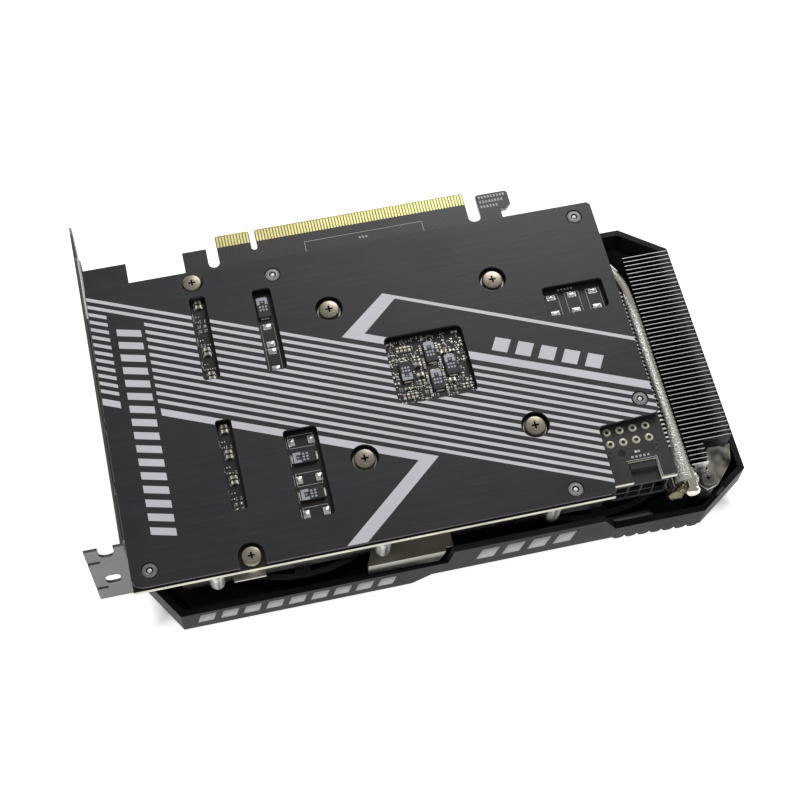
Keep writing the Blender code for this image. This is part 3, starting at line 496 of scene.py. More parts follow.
def plate_outline():
    upper, lower = BRACE_SCREWS
    left = 0.0
    top = PLATE_HIGH.y
    bottom = PLATE_LOW.y
    outline = [(left, top - 1.0), (0.6, top)]
    outline += notch(upper.x, upper.y, 3.7, top)
    outline += [(168.8, top), (BOARD_TAIL, top - 1.0), (BOARD_TAIL, -94.0), (168.6, -94.9), (150.4, -96.0),
                (149.6, -96.8), (149.3, -115.2), (148.4, -118.0), (147.2, bottom)]
    outline += notch(lower.x, lower.y, 4.0, bottom)[::-1]
    outline += [(3.0, bottom), (0.9, -117.9), (left, -115.8)]
    return outline


def window_outline(x0, y0, x1, y1, r):
    return rounded(rectangle(x0, y0, x1, y1), r, 8)


def backplate():
    holes = [circle(p.x, p.y, SCREW_HOLE_R) for p in GPU_SCREWS]
    holes += [circle(p.x, p.y, STANDOFF_HOLE_R) for p in STANDOFFS]
    holes += [window_outline(*window) for window in WINDOWS.values()]
    flat_sheet("backplate_finish", [plate_outline()] + holes, PLATE_UNDER, PLATE_TOP, 0.12, ["plate"],
               ("backplate",))


STRIPE_SLOPE = -0.4265
STRIPE_PITCH = 2.822
STRIPE_TALL = 1.26
STRIPE_START = -17.23
STRIPE_COUNT = 13
LEFT_PIECE_END = 5.6
COLUMN_END = 17.0
PRINT_RIGHT = 169.65
PRINT_LEFT = 0.15


def stripe_band(x0, x1, middle):
    """A slanted band with upright ends; middle is its centre's height where x is 0."""
    ya, yb = (middle + STRIPE_SLOPE * x for x in (x0, x1))
    half = STRIPE_TALL / 2
    return [(x0, ya - half), (x1, yb - half), (x1, yb + half), (x0, ya + half)]


def print_shapes():
    shapes = []
    for k in range(STRIPE_COUNT):
        middle = STRIPE_START - STRIPE_PITCH * k
        if k < 2:
            shapes.append(stripe_band(PRINT_LEFT, PRINT_RIGHT, middle))
        else:
            shapes.append(stripe_band(PRINT_LEFT, LEFT_PIECE_END, middle))
            shapes.append(stripe_band(COLUMN_END, PRINT_RIGHT, middle))
    shapes.append([(PRINT_LEFT, -53.9), (PRINT_LEFT, -56.3), (5.5, -58.57), (5.5, -56.16)])
    shapes.append([(17.4, -61.15), (17.4, -63.65), (92.0, -95.4), (64.6, -118.6), (71.0, -118.6),
                   (98.4, -95.3)])
    shapes.append([(77.8, -47.9), (PRINT_RIGHT, -86.75), (PRINT_RIGHT, -83.75), (85.2, -48.15),
                   (97.5, -37.35), (PRINT_RIGHT, -68.6), (PRINT_RIGHT, -67.25), (94.0, -34.6)])
    return shapes


def generic_marks():
    """Plain slanted blocks in place of a maker's lettering: a column, and a short row."""
    shapes = []
    for k in range(16):
        top = -30.2 - 4.66 * k
        shapes.append([(8.0, top - 2.5), (15.6, top - 2.5 - 1.9), (15.6, top - 1.9), (8.0, top)])
    for k in range(5):
        x = 123.6 + 6.9 * k
        y = -62.4 - 2.95 * k
        shapes.append([(x, y), (x + 4.6, y - 1.96), (x + 7.0, y + 2.4), (x + 2.4, y + 4.36)])
    return shapes


def plate_print():
    bm = bmesh.new()
    for outline in print_shapes() + generic_marks():
        prism(bm, outline, PLATE_TOP - 0.02, PLATE_TOP + PRINT_THICK)
    made = piece("backplate_print", bm, ["print"])
    cutter = bmesh.new()
    low = PLATE_TOP - 1.0
    high = PLATE_TOP + 1.0
    edge = 0.16
    for x0, y0, x1, y1, r in WINDOWS.values():
        prism(cutter, window_outline(x0 - edge, y0 - edge, x1 + edge, y1 + edge, r), low, high)
    for p in GPU_SCREWS:
        prism(cutter, circle(p.x, p.y, SCREW_HOLE_R + edge), low, high)
    for p in STANDOFFS:
        prism(cutter, circle(p.x, p.y, STANDOFF_HOLE_R + edge), low, high)
    prism(cutter, [(149.1, -125.0), (149.35, -96.7), (150.3, -95.8), (168.5, -94.7), (169.6, -93.8),
                   (175.0, -93.8), (175.0, -125.0)], low, high)
    carve(made, cutter)


# ---------------------------------------------------------------- board

CONTACT_GROUPS = ((45.3, 11), (58.5, 71))
CONTACT_LIP = 0.75
CONTACT_FOOT = -4.8
LIP_ENDS = ((44.65, 55.95), (57.85, 129.1))


def board_outline():
    finger_slot = notch(42.85, -10.3, 1.8, 0.0)
    lip = -CONTACT_LIP
    outline = [(0, BOARD_FREE_EDGE), (0, -4.7), (14.4, -4.7), (14.4, -12.2), (33.1, -12.2), (33.1, -4.5),
               (41.05, -4.5)]
    outline += finger_slot[1:-1]
    outline += [(44.65, lip), (55.95, lip), (55.95, -7.0)]
    outline += [(56.9 - 0.95 * cos(pi * i / 8), -7.0 - 0.95 * sin(pi * i / 8)) for i in range(1, 8)]
    outline += [(57.85, -7.0), (57.85, lip), (129.1, lip), (129.1, -10.6)]
    outline += [(131.15 - 2.05 * cos(pi * i / 8), -10.6 - 1.6 * sin(pi * i / 8)) for i in range(1, 8)]
    outline += [(133.2, -10.6), (133.2, -2.6), (133.8, -2.0), (143.6, -2.0), (144.3, -2.8), (144.3, -7.4),
                (142.5, -9.0), (140.5, -9.0), (140.5, -14.2), (BOARD_TAIL, -14.2), (BOARD_TAIL, -115.6),
                (164.9, -115.6), (164.9, -108.8), (155.7, -108.8), (155.7, -115.6), (149.7, -115.6),
                (148.9, BOARD_FREE_EDGE)]
    return outline


def board():
    holes = [circle(p.x, p.y, BOARD_HOLE_R, 24) for p in GPU_SCREWS + BRACE_SCREWS]
    made = flat_sheet("pcb_finish", [board_outline()] + holes, -BOARD_THICK, 0.0, 0.04, ["mask", "laminate"],
                      ("pcb",), rim=1)
    for polygon in made.data.polygons:
        if abs(polygon.normal.z) < 0.5:
            polygon.material_index = 1


def contact_edge():
    """The bevelled lip of the edge connector and its gold contacts on both faces."""
    bm = bmesh.new()
    tip = -0.04
    root = -CONTACT_LIP + 0.02
    wedge = ((root, -0.02), (tip, -0.42), (tip, -BOARD_THICK + 0.42), (root, -BOARD_THICK + 0.02))
    for x0, x1 in LIP_ENDS:
        loft(bm, [[(x + (inset if y == tip else 0), y, z) for y, z in wedge]
                  for x, inset in ((x0 + 0.02, 0.45), (x1 - 0.02, -0.45))])
        for low, high in ((-0.01, 0.012), (-BOARD_THICK - 0.012, -BOARD_THICK + 0.01)):
            prism(bm, rectangle(x0 + 0.25, CONTACT_FOOT, x1 - 0.25, root), low, high, 1)
    piece("edge_lip", bm, ["gold_edge", "gold_gap"])
    bm = bmesh.new()
    for first, count in CONTACT_GROUPS:
        for k in range(count):
            x = first + k
            outline = rounded(rectangle(x - 0.3, CONTACT_FOOT - 0.1, x + 0.3, -CONTACT_LIP + 0.02), 0.12, 2)
            prism(bm, outline, -0.02, 0.045)
            prism(bm, outline, -BOARD_THICK - 0.045, -BOARD_THICK + 0.02)
    piece("edge_contacts", bm, ["gold"])


def ribbon(bm, points, wide, low, high, look=0):
    """A flat line of even width along points, mitred at its bends; it closes if it ends where it starts."""
    closed = points[0] == points[-1]
    path = [Vector(point) for point in (points[:-1] if closed else points)]
    count = len(path)
    rows = []
    for i, here in enumerate(path):
        ahead = path[(i + 1) % count] - here if closed or i < count - 1 else here - path[i - 1]
        behind = here - path[i - 1] if closed or i > 0 else ahead
        into = Vector((-behind.y, behind.x)).normalized()
        out = Vector((-ahead.y, ahead.x)).normalized()
        mitre = into + out
        mitre *= wide / 2 / mitre.dot(out)
        sides = [here + mitre, here - mitre]
        rows.append([bm.verts.new((*side, z)) for side in sides for z in (low, high)])
    faces = []
    for i in range(count if closed else count - 1):
        a = rows[i]
        b = rows[(i + 1) % count]
        for c, d in ((0, 1), (1, 3), (3, 2), (2, 0)):
            faces.append(bm.faces.new((a[c], a[d], b[d], b[c])))
    if not closed:
        faces.append(bm.faces.new([rows[0][k] for k in (0, 2, 3, 1)]))
        faces.append(bm.faces.new([rows[-1][k] for k in (0, 1, 3, 2)]))
    for face in faces:
        face.material_index = look


def board_traces():
    """Copper under the mask: raised lines near the edge contacts."""
    bm = bmesh.new()
    low = -0.01
    high = 0.025
    for k in range(14):
        x = 90.0 + 2.4 * k
        ribbon(bm, [(x + 6.0, -5.6), (x + 3.6, -7.6), (x - 2.2, -11.6), (x - 4.6, -13.6)], 0.34, low, high)
    for k in range(4):
        y = -5.8 - 1.1 * k
        for start, bend, way in ((61.8, 65.2, 1), (71.4, 68.4, -1)):
            x = bend - way * 0.5 * k
            ribbon(bm, [(start, y), (x, y), (x + way, y - 1.0), (x + way, -12.6)], 0.3, low, high)
    for k in range(9):
        x = 46.0 + 1.05 * k
        ribbon(bm, [(x, -5.4), (x, -7.4 - 0.5 * k)], 0.3, low, high)
    piece("board_traces", bm, ["mask_trace"])


def ticks(bm, count, x, y, step, wide, tall, look=0):
    """A row of plain printed ticks where a maker would print lettering."""
    for k in range(count):
        prism(bm, centred(x + step * k, y, wide, tall), -0.01, SILK_THICK, look)


def board_silk():
    """White printed outlines and plain ticks on the board's back."""
    bm = bmesh.new()
    line = 0.17
    ribbon(bm, [(73.4, -12.9), (73.4, -8.4), (113.3, -8.4), (113.3, -12.9)], line, -0.01, SILK_THICK)
    ticks(bm, 3, 91.8, -10.4, 1.1, 0.6, 0.8)
    for row, count in enumerate((9, 8, 6)):
        ticks(bm, count, 134.4, -3.2 - 1.9 * row, 1.05, 0.62, 1.0)
    ribbon(bm, [(155.4, -108.3), (165.2, -108.3), (165.2, -115.3), (169.2, -115.3)], line, -0.01, SILK_THICK)
    ticks(bm, 5, 157.6, -107.2, 1.3, 0.7, 0.7)
    piece("board_silk", bm, ["silk"])


# ---------------------------------------------------------------- small parts in the windows

PARTS = ["ceramic", "terminal", "epoxy", "cap_mark", "silk"]
CERAMIC, TERMINAL, EPOXY, MARK, SILK = range(5)
PAD_GRID = 8


def chip_capacitor(bm, x, y, long, wide, tall, across=False, body=CERAMIC):
    """A ceramic chip with a tinned cap at each end; it lies along Y, or along X where across is set."""
    cap = long * 0.3

    def box(u0, u1, half, top, look):
        if across:
            soft_box(bm, (x + u0, y - half, 0.02), (x + u1, y + half, top), look, min(0.06, top / 5))
        else:
            soft_box(bm, (x - half, y + u0, 0.02), (x + half, y + u1, top), look, min(0.06, top / 5))

    box(-long / 2 + cap * 0.6, long / 2 - cap * 0.6, wide / 2 - 0.03, tall - 0.03, body)
    box(-long / 2, -long / 2 + cap, wide / 2, tall, TERMINAL)
    box(long / 2 - cap, long / 2, wide / 2, tall, TERMINAL)
    foot = long / 2 + 0.18
    for sign in (-1, 1):
        u0, u1 = sorted((sign * (long / 2 - cap * 0.5), sign * foot))
        box(u0, u1, wide / 2 + 0.05, tall * 0.22, TERMINAL)


def solder_pad(bm, x, y, wide, tall):
    """A bare pad with a low, uneven pillow of solder."""
    soft_box(bm, (x - wide / 2, y - tall / 2, 0.0), (x + wide / 2, y + tall / 2, 0.06), TERMINAL, 0)
    if min(wide, tall) < 0.6:
        return
    steps = PAD_GRID
    grid = []
    for i in range(steps + 1):
        u = i / steps - 0.5
        row = []
        for j in range(steps + 1):
            v = j / steps - 0.5
            dome = (1 - 4 * u * u) * (1 - 4 * v * v)
            lift = 0.05 + dome * (0.16 + 0.3 * lumpy(x + u * wide, y + v * tall, 1.9))
            row.append(bm.verts.new((x + u * wide * 0.92, y + v * tall * 0.92, lift)))
        grid.append(row)
    for a, b in zip(grid, grid[1:]):
        for j in range(steps):
            bm.faces.new((a[j], b[j], b[j + 1], a[j + 1])).material_index = TERMINAL
    rim = [(i, 0) for i in range(steps)] + [(steps, j) for j in range(steps)]
    rim += [(i, steps) for i in range(steps, 0, -1)] + [(0, j) for j in range(steps, 0, -1)]
    floor_ring = [bm.verts.new((*grid[i][j].co.xy, 0.02)) for i, j in rim]
    for k, (i, j) in enumerate(rim):
        m = (k + 1) % len(rim)
        i2, j2 = rim[m]
        bm.faces.new((grid[i][j], grid[i2][j2], floor_ring[m], floor_ring[k])).material_index = TERMINAL
    bm.faces.new(floor_ring).material_index = TERMINAL


def pad_square(bm, x, y, step_x, step_y, wide, tall):
    for dx in (-step_x / 2, step_x / 2):
        for dy in (-step_y / 2, step_y / 2):
            solder_pad(bm, x + dx, y + dy, wide, tall)


def polymer_capacitor(bm, x, y, turn, long=7.3, wide=4.0, tall=1.15):
    """A flat black capacitor with a pale polarity mark; turn is 0 with the mark up, 1 left, 2 down."""
    turned_by = Matrix.Rotation(turn * pi / 2, 2)

    def place(u, v):
        p = turned_by @ Vector((u, v))
        return x + p.x, y + p.y

    def box(u0, v0, u1, v1, low, high, look, edge):
        xa, ya = place(u0, v0)
        xb, yb = place(u1, v1)
        soft_box(bm, (min(xa, xb), min(ya, yb), low), (max(xa, xb), max(ya, yb), high), look, edge)

    half = long / 2
    side = wide / 2
    box(-side, -half, side, half, 0.15, tall, EPOXY, 0.12)
    for sign in (-1, 1):
        v0, v1 = sorted((sign * (half - 0.05), sign * (half + 0.5)))
        box(-side * 0.7, v0, side * 0.7, v1, 0.02, 0.5, TERMINAL, 0.08)

    def mark(u0, v0, u1, v1):
        box(u0, v0, u1, v1, tall - 0.02, tall + 0.02, MARK, 0)

    mark(-side + 0.25, half - 1.15, side - 0.25, half - 0.2)
    for sign in (-1, 1):
        u0, u1 = sorted((sign * (side - 0.25), sign * (side - 1.15)))
        mark(u0, half - 2.6, u1, half - 1.1)
    mark(-0.12, half - 2.1, 0.12, half - 1.3)
    mark(-0.4, half - 1.82, 0.4, half - 1.58)
    for row in range(2):
        for column in (-1, 0, 1):
            u = column * side * 0.5
            v = half - 3.45 - 1.15 * row
            mark(u - 0.3, v - 0.34, u + 0.3, v + 0.34)


def printed_line(bm, *points):
    ribbon(bm, points, 0.14, 0.0, SILK_THICK, SILK)


def outline_marks(bm, x0, y0, x1, y1):
    """A thin printed rectangle."""
    printed_line(bm, (x0, y0), (x1, y0), (x1, y1), (x0, y1), (x0, y0))


def phase_unit(bm, x, y, filled, rng):
    """One power phase's small parts, seen through a narrow slot."""
    if filled:
        for dy in (0.85, -0.85):
            chip_capacitor(bm, x, y + dy, 1.9, 1.15, 0.8, across=True)
    else:
        pad_square(bm, x, y, 1.7, 1.75, 0.85, 0.95)
    for dy in (0.55, -1.3):
        printed_line(bm, (x - 1.45, y + dy - 0.5), (x - 1.45, y + dy + 0.5))
    printed_line(bm, (x + 1.45, y - 0.9), (x + 1.45, y + 0.2))
    for k in range(5):
        solder_pad(bm, x - 2.35 + rng.uniform(-0.15, 0.15), y - 3.2 - 0.62 * k, 0.26, 0.3)
    for dx in (-1.45, -0.6):
        solder_pad(bm, x + dx, y - 4.2, 0.34, 0.34)
    for dx in (-1.4, -0.35, 1.1):
        chip_capacitor(bm, x + dx, y - 6.2, 0.7, 0.34, 0.3, across=bool(rng.getrandbits(1)), body=EPOXY)


def slot_parts():
    """The parts in the four long windows: power phases in two, flat capacitors and pads in two."""
    rng = random.Random(11)
    bm = bmesh.new()
    for k, filled in enumerate((True, False, True, True)):
        phase_unit(bm, 35.0, -25.4 - 8.85 * k, filled, rng)
    piece("slot_a_parts", bm, PARTS)
    bm = bmesh.new()
    for k, filled in enumerate((True, True, True, False)):
        phase_unit(bm, 35.5, -71.3 - 8.9 * k, filled, rng)
    piece("slot_c_parts", bm, PARTS)
    bm = bmesh.new()
    polymer_capacitor(bm, 55.35, -31.0, 0)
    for y0, y1 in ((-45.9, -37.0), (-55.0, -46.3)):
        outline_marks(bm, 53.3, y0, 57.5, y1)
    for y in (-37.8, -44.3, -47.0, -53.4):
        solder_pad(bm, 55.4, y, 2.5, 2.0)
    piece("slot_b_parts", bm, PARTS)
    bm = bmesh.new()
    for y in (-80.1, -93.2, -104.8):
        outline_marks(bm, 54.2, y - 2.15, 61.9, y + 2.15)
        for x in (55.0, 61.2):
            solder_pad(bm, x, y, 2.0, 2.5)
        printed_line(bm, (53.4, y - 2.0), (53.4, y + 2.0))
    for y in (-86.1, -98.8):
        polymer_capacitor(bm, 58.0, y, 1)
        printed_line(bm, (53.6, y - 2.2), (53.6, y + 1.8))
    piece("slot_d_parts", bm, PARTS)


def processor_window_parts():
    """Decoupling parts behind the processor."""
    rng = random.Random(29)
    bm = bmesh.new()
    taken = []

    def chip(x, y, long, wide, tall, across, body=CERAMIC):
        chip_capacitor(bm, x, y, long, wide, tall, across, body)
        u, v = (long, wide) if across else (wide, long)
        taken.append((x - u / 2 - 0.3, y - v / 2 - 0.3, x + u / 2 + 0.3, y + v / 2 + 0.3))

    for x, y, turn in ((104.5, -58.1, 0), (104.5, -68.3, 0), (110.0, -63.8, 0), (95.4, -63.3, 2)):
        polymer_capacitor(bm, x, y, turn, long=7.0, wide=3.8, tall=1.05)
        taken.append((x - 2.3, y - 4.3, x + 2.3, y + 4.3))
    for x, y in ((99.7, -61.6), (99.7, -65.4), (108.8, -58.7), (109.2, -69.2)):
        chip(x, y, 2.0, 1.3, 1.0, True)
    for x in (94.4, 95.65, 96.9, 98.15):
        chip(x, -55.1, 1.6, 0.85, 0.6, False)
    for x in (93.0, 94.35, 95.65, 96.9):
        chip(x, -72.0, 1.7, 0.8, 0.6, False)
    for x in (101.7, 107.0):
        for y in (-55.6, -57.3, -60.8, -62.6, -65.6, -67.3, -71.0, -72.8):
            chip(x, y, 1.3, 0.7, 0.55, False)
    for x, y in ((99.1, -59.2), (100.4, -59.3), (99.0, -67.9), (100.4, -67.9), (109.5, -55.0),
                 (112.2, -55.1), (115.0, -55.3), (113.4, -59.3), (114.6, -62.1), (108.0, -56.3),
                 (113.1, -67.9), (109.5, -72.0), (112.3, -71.9), (113.5, -71.9), (114.7, -71.8),
                 (109.6, -74.4), (91.1, -59.3), (102.9, -52.2), (99.9, -74.5)):
        chip(x, y, 1.5, 0.72, 0.5, False)
    for x, y in ((113.7, -52.2), (111.6, -58.6), (114.5, -57.2), (114.5, -70.1), (92.2, -52.6), (92.8, -58.5),
                 (95.0, -58.5), (91.7, -64.6), (91.7, -67.0), (94.6, -69.3), (96.6, -69.3), (92.4, -74.3)):
        chip(x, y, 1.5, 0.72, 0.5, True)
    for _ in range(400):
        x = rng.uniform(91.0, 115.6)
        y = rng.uniform(-75.2, -51.4)
        if any(x0 < x < x1 and y0 < y < y1 for x0, y0, x1, y1 in taken):
            continue
        chip(x, y, 0.62, 0.32, 0.3, bool(rng.getrandbits(1)), EPOXY)
    piece("processor_window_parts", bm, PARTS)


def window_shade_sheets():
    """Sheets of darker solder mask behind the plate's openings: painted shade of the deep windows."""
    bm = bmesh.new()
    for x0, y0, x1, y1, _ in WINDOWS.values():
        prism(bm, rectangle(x0 - 0.6, y0 - 0.6, x1 + 0.6, y1 + 0.6), -0.01, 0.01)
    piece("window_shade_sheets", bm, ["mask_painted_shade"])


def memory_window_parts():
    """Six bare pads in printed pairs."""
    bm = bmesh.new()
    for x in (147.9, 154.9, 162.0):
        outline_marks(bm, x - 2.3, -53.4, x + 2.3, -45.4)
        for y in (-46.3, -52.4):
            solder_pad(bm, x, y, 2.7, 1.9)
    ticks(bm, 5, 151.0, -43.9, 1.1, 0.5, 0.6, SILK)
    piece("memory_window_parts", bm, PARTS)


HEADER_ROWS = 2
HEADER_COLUMNS = 4
PIN_PITCH = 4.2
JOINT_PITCH = 4.22


def header_back():
    """Solder joints and pegs of the power header, on the board's back."""
    bm = bmesh.new()
    joint = [(0.62, 0.18), (0.72, 0.28), (0.9, 0.22), (1.12, 0.07), (1.3, 0.0), (0.62, 0.0)]
    core = [(0, 0.14), (0.56, 0.1), (0.62, 0.0), (0, 0.0)]
    for row in range(HEADER_ROWS):
        for column in range(HEADER_COLUMNS):
            middle = (152.06 + JOINT_PITCH * column, -97.4 - PIN_PITCH * row, 0.0)
            turned(bm, joint, middle, 28, 0)
            # the joints' cores are painted dark as the shade of the pin holes
            turned(bm, core, middle, 20, 1)
    for x, y, look in ((151.0, -104.8, 2), (154.8, -105.2, 3), (166.1, -104.9, 2)):
        # look 3 is a flat black disc: painted shade of a hole
        if look == 3:
            peg = [(0, 0.03), (1.25, 0.03), (1.25, 0.0), (0, 0.0)]
        else:
            peg = [(0, 0.1), (0.5, 0.14), (0.62, 0.45), (0.95, 0.42), (1.2, 0.1), (1.25, 0.0), (0, 0.0)]
        turned(bm, peg, (x, y, 0.0), 32, look)
    for k in range(2):
        soft_box(bm, (158.7 + 0.95 * k, -106.1, 0.0), (159.5 + 0.95 * k, -105.3, 0.35), 4, 0.06)
    piece("power_header_joints", bm, ["joint", "dark", "peg", "dark", "terminal"])


# ---------------------------------------------------------------- screws and standoffs

SHANK_R = 1.3
THREAD_ROOT_R = 1.08
THREAD_PITCH = 0.5
WASHER_BORE_R = 1.75
CROSS_REACH = 0.38
CROSS_WIDE = 0.19
CROSS_DEPTH = 1.15


def cross_bit(bm, x, y, top, head_r):
    """The tapered cross that a driver's tip leaves."""
    rings = []
    for z, share in ((top + 0.3, 1.0), (top - CROSS_DEPTH * 0.45, 0.86), (top - CROSS_DEPTH, 0.4)):
        long = head_r * CROSS_REACH * share
        half = head_r * CROSS_WIDE / 2 * (0.6 + 0.4 * share)
        corners = [(long, -half), (long, half), (half, half), (half, long), (-half, long), (-half, half),
                   (-long, half), (-long, -half), (-half, -half), (-half, -long), (half, -long),
                   (half, -half)]
        rings.append([(x + u, y + v, z) for u, v in corners])
    loft(bm, rings)


def pan_screw(node, look, head_tall, washer_r=0.0):
    """A pan-head screw with a rounded crown, a cross recess painted dark as shade, and a threaded shank."""
    low, high = span(node)
    x = (low.x + high.x) / 2
    y = (low.y + high.y) / 2
    head_r = (high.x - low.x) / 2
    crown = high.z
    seat = crown - head_tall
    profile = [(0, crown)]
    for i in range(1, 9):
        a = pi / 2 * i / 8
        profile.append((head_r * 0.8 + head_r * 0.2 * sin(a), crown - 0.06 - 0.6 * (1 - cos(a))))
    profile += [(head_r, seat + 0.25), (head_r - 0.12, seat), (SHANK_R, seat)]
    z = seat
    while z > low.z + 2 * THREAD_PITCH:
        profile += [(THREAD_ROOT_R, z - THREAD_PITCH / 2), (SHANK_R, z - THREAD_PITCH)]
        z -= THREAD_PITCH
    profile += [(0.9, low.z), (0, low.z)]
    bm = bmesh.new()
    turned(bm, profile, (x, y, 0), 48)
    made = piece(f"{node}_finish", bm, [look, "dark"], (node,), angle=40)
    bit = bmesh.new()
    cross_bit(bit, x, y, crown, head_r)
    carve(made, bit)
    # the faces of the cross recess are painted dark as shade
    for polygon in made.data.polygons:
        place = local(polygon.center)
        inside = Vector((place.x - x, place.y - y)).length < head_r * (CROSS_REACH + 0.01)
        if inside and seat < place.z < crown - 0.09:
            polygon.material_index = 1
    if washer_r:
        bm = bmesh.new()
        under = seat - 0.27
        top = seat - 0.03
        ring = [(WASHER_BORE_R, under), (washer_r, under), (washer_r, top), (WASHER_BORE_R, top)]
        turned(bm, ring, (x, y, 0), 48)
        piece(f"{node}_washer", bm, ["frame"])


def standoff(index):
    """A pressed nut: knurled collar in the plate's hole with a domed core painted near white as a highlight,
    and a ring round the core painted dark as shade.
    """
    node = f"backplate_standoff_{index}"
    low, high = span(node)
    x = (low.x + high.x) / 2
    y = (low.y + high.y) / 2
    bm = bmesh.new()
    top = high.z
    steps = 72
    rows = []
    profile = [(1.05, top - 0.75, 0), (1.15, top - 0.06, 0), (1.28, top, 0), (1.55, top, 0),
               (1.75, top - 0.05, 1), (2.1, top - 0.05, 1), (2.24, top - 0.14, 1), (2.3, top - 0.3, 0),
               (2.3, 1.35, 0), (2.85, 1.35, 0), (2.85, low.z, 0), (1.05, low.z, 0)]
    for r, z, knurled in profile:
        rows.append([bm.verts.new((x + r * cos(tau * i / steps), y + r * sin(tau * i / steps),
                                   z - knurled * 0.12 * (i % 3 == 0))) for i in range(steps)])
    for a, b in zip(rows, rows[1:] + rows[:1]):
        for i in range(steps):
            j = (i + 1) % steps
            bm.faces.new((a[i], a[j], b[j], b[i]))
    # the core's near white colour is a painted highlight; the ring below it is painted shade
    turned(bm, [(0, top - 0.1), (0.35, top - 0.12), (0.62, top - 0.24), (0.74, top - 0.5), (0.74, top - 1.2),
                (0, top - 1.2)], (x, y, 0), 32, 1)
    turned(bm, [(0.74, top - 0.6), (1.04, top - 0.6), (1.04, top - 1.2), (0.74, top - 1.2)], (x, y, 0), 32, 2)
    piece(f"{node}_finish", bm, ["standoff", "core_painted_highlight", "dark"], (node,), angle=25)


# ---------------------------------------------------------------- cooler

FIN_PITCH = 1.56
FIN_STOCK = 0.4
FIN_THIN = 0.18
FIN_FOLD = 0.22
EAR_TOP = -7.2
EAR_TIP = 173.4
EAR_ROWS = (-104.5, -44.0)


def fin(bm, profile, y, thick, bright=(), painted_shade_edges=()):
    """One sheet fin across Y, its outline in (x, z); its sides are painted near black as shade in the gaps
    between fins, except an outer side, and its rim shows the bright sheet.
    """
    near = [bm.verts.new((x, y, z)) for x, z in profile]
    far = [bm.verts.new((x, y + thick, z)) for x, z in profile]
    for side, name in ((near, "near"), (far[::-1], "far")):
        bm.faces.new(side).material_index = 0 if name in bright else 1
    for i in range(len(profile)):
        j = (i + 1) % len(profile)
        bm.faces.new((near[i], near[j], far[j], far[i])).material_index = int(i in painted_shade_edges)


def fin_rows(node):
    """The heights in Y at which a stack's fins stand, worked out from its box."""
    low, high = span(node)
    count = round((high.y - low.y - FIN_STOCK) / FIN_PITCH) + 1
    return [low.y + (FIN_STOCK - FIN_THIN) / 2 + FIN_PITCH * i for i in range(count)]


def fin_stacks():
    """Every fin of the three stacks, with the folds that space them."""
    gap = FIN_PITCH - FIN_THIN
    for node in ("fin_stack_main", "fin_stack_bridge", "fin_stack_tail"):
        low, high = span(node)
        rows = fin_rows(node)
        bm = bmesh.new()
        for y in rows:
            right = 182.7 if node == "fin_stack_tail" and y < -103.9 else high.x
            outline = [(low.x, high.z), (low.x, low.z), (right, low.z), (right, high.z)]
            if node == "fin_stack_tail":
                outline[:1] = [(low.x - 1.4, high.z), (low.x - 1.3, high.z - 0.5), (low.x, high.z - 1.6)]
            if node == "fin_stack_bridge" and EAR_ROWS[0] < y < EAR_ROWS[1]:
                outline += [(EAR_TIP, high.z), (EAR_TIP, EAR_TOP), (167.0, EAR_TOP), (164.0, high.z)]
                fold = (EAR_TIP - 0.4, y + FIN_THIN + gap / 3, EAR_TOP)
                soft_box(bm, (EAR_TIP - 3.0, y + FIN_THIN, EAR_TOP - FIN_FOLD), fold, 0, 0)
            bright = [side for side, end in (("near", rows[0]), ("far", rows[-1])) if y == end]
            # the tail fins' left rim is painted dark as shade too
            fin(bm, outline, y, FIN_THIN, bright, (0, 1, 2) if node == "fin_stack_tail" else ())
            if y == rows[-1]:
                continue
            if node == "fin_stack_tail":
                soft_box(bm, (low.x, y + FIN_THIN, low.z),
                         (right, y + FIN_THIN + gap, low.z + FIN_FOLD), 0, 0)
                soft_box(bm, (right - FIN_FOLD, y + FIN_THIN, low.z),
                         (right, y + FIN_THIN + gap * 0.4, high.z - 1.2), 0, 0)
            else:
                fold_end = min(high.x, 169.0)
                soft_box(bm, (low.x, y + FIN_THIN, high.z - FIN_FOLD),
                         (fold_end, y + FIN_THIN + gap, high.z), 0, 0)
        piece(f"{node}_finish", bm, ["fin", "fin_painted_shade"], (node,))


def route(points):
    """Points about a millimetre apart on a Catmull-Rom curve through the given ones."""
    knots = [Vector(point) for point in points]
    knots = [knots[0] * 2 - knots[1]] + knots + [knots[-1] * 2 - knots[-2]]
    made = []
    for p0, p1, p2, p3 in zip(knots, knots[1:], knots[2:], knots[3:]):
        count = max(2, round((p2 - p1).length))
        for k in range(count):
            t = k / count
            made.append(0.5 * (2 * p1 + (p2 - p0) * t + (2 * p0 - 5 * p1 + 4 * p2 - p3) * t ** 2
                               + (3 * p1 - p0 - 3 * p2 + p3) * t ** 3))
    made.append(knots[-2])
    return made


def smooth_pipe(node, points):
    """A round heat pipe with a chamfered, slightly domed end at both ends of its route."""
    path = route(points)
    first = (path[1] - path[0]).normalized()
    last = (path[-1] - path[-2]).normalized()
    cap = ((0.02, 0.3), (0.06, 0.55), (0.2, 0.72), (0.85, 0.93), (1.2, 1.0))
    stations = [(path[0] + first * reach, share) for reach, share in cap]
    stations += [(point, 1.0) for point in path[2:-2]]
    stations += [(path[-1] - last * reach, share) for reach, share in reversed(cap)]
    sides = 32
    rings = []
    for i, (middle, share) in enumerate(stations):
        along = (stations[min(i + 1, len(stations) - 1)][0] - stations[max(i - 1, 0)][0]).normalized()
        side = along.cross(Vector((0, 0, 1))).normalized()
        up = side.cross(along)
        r = PIPE_R * share
        rings.append([middle + (side * cos(tau * k / sides) + up * sin(tau * k / sides)) * r
                      for k in range(sides)])
    bm = bmesh.new()
    loft(bm, rings)
    piece(f"{node}_finish", bm, ["pipe"], (node,), angle=40)


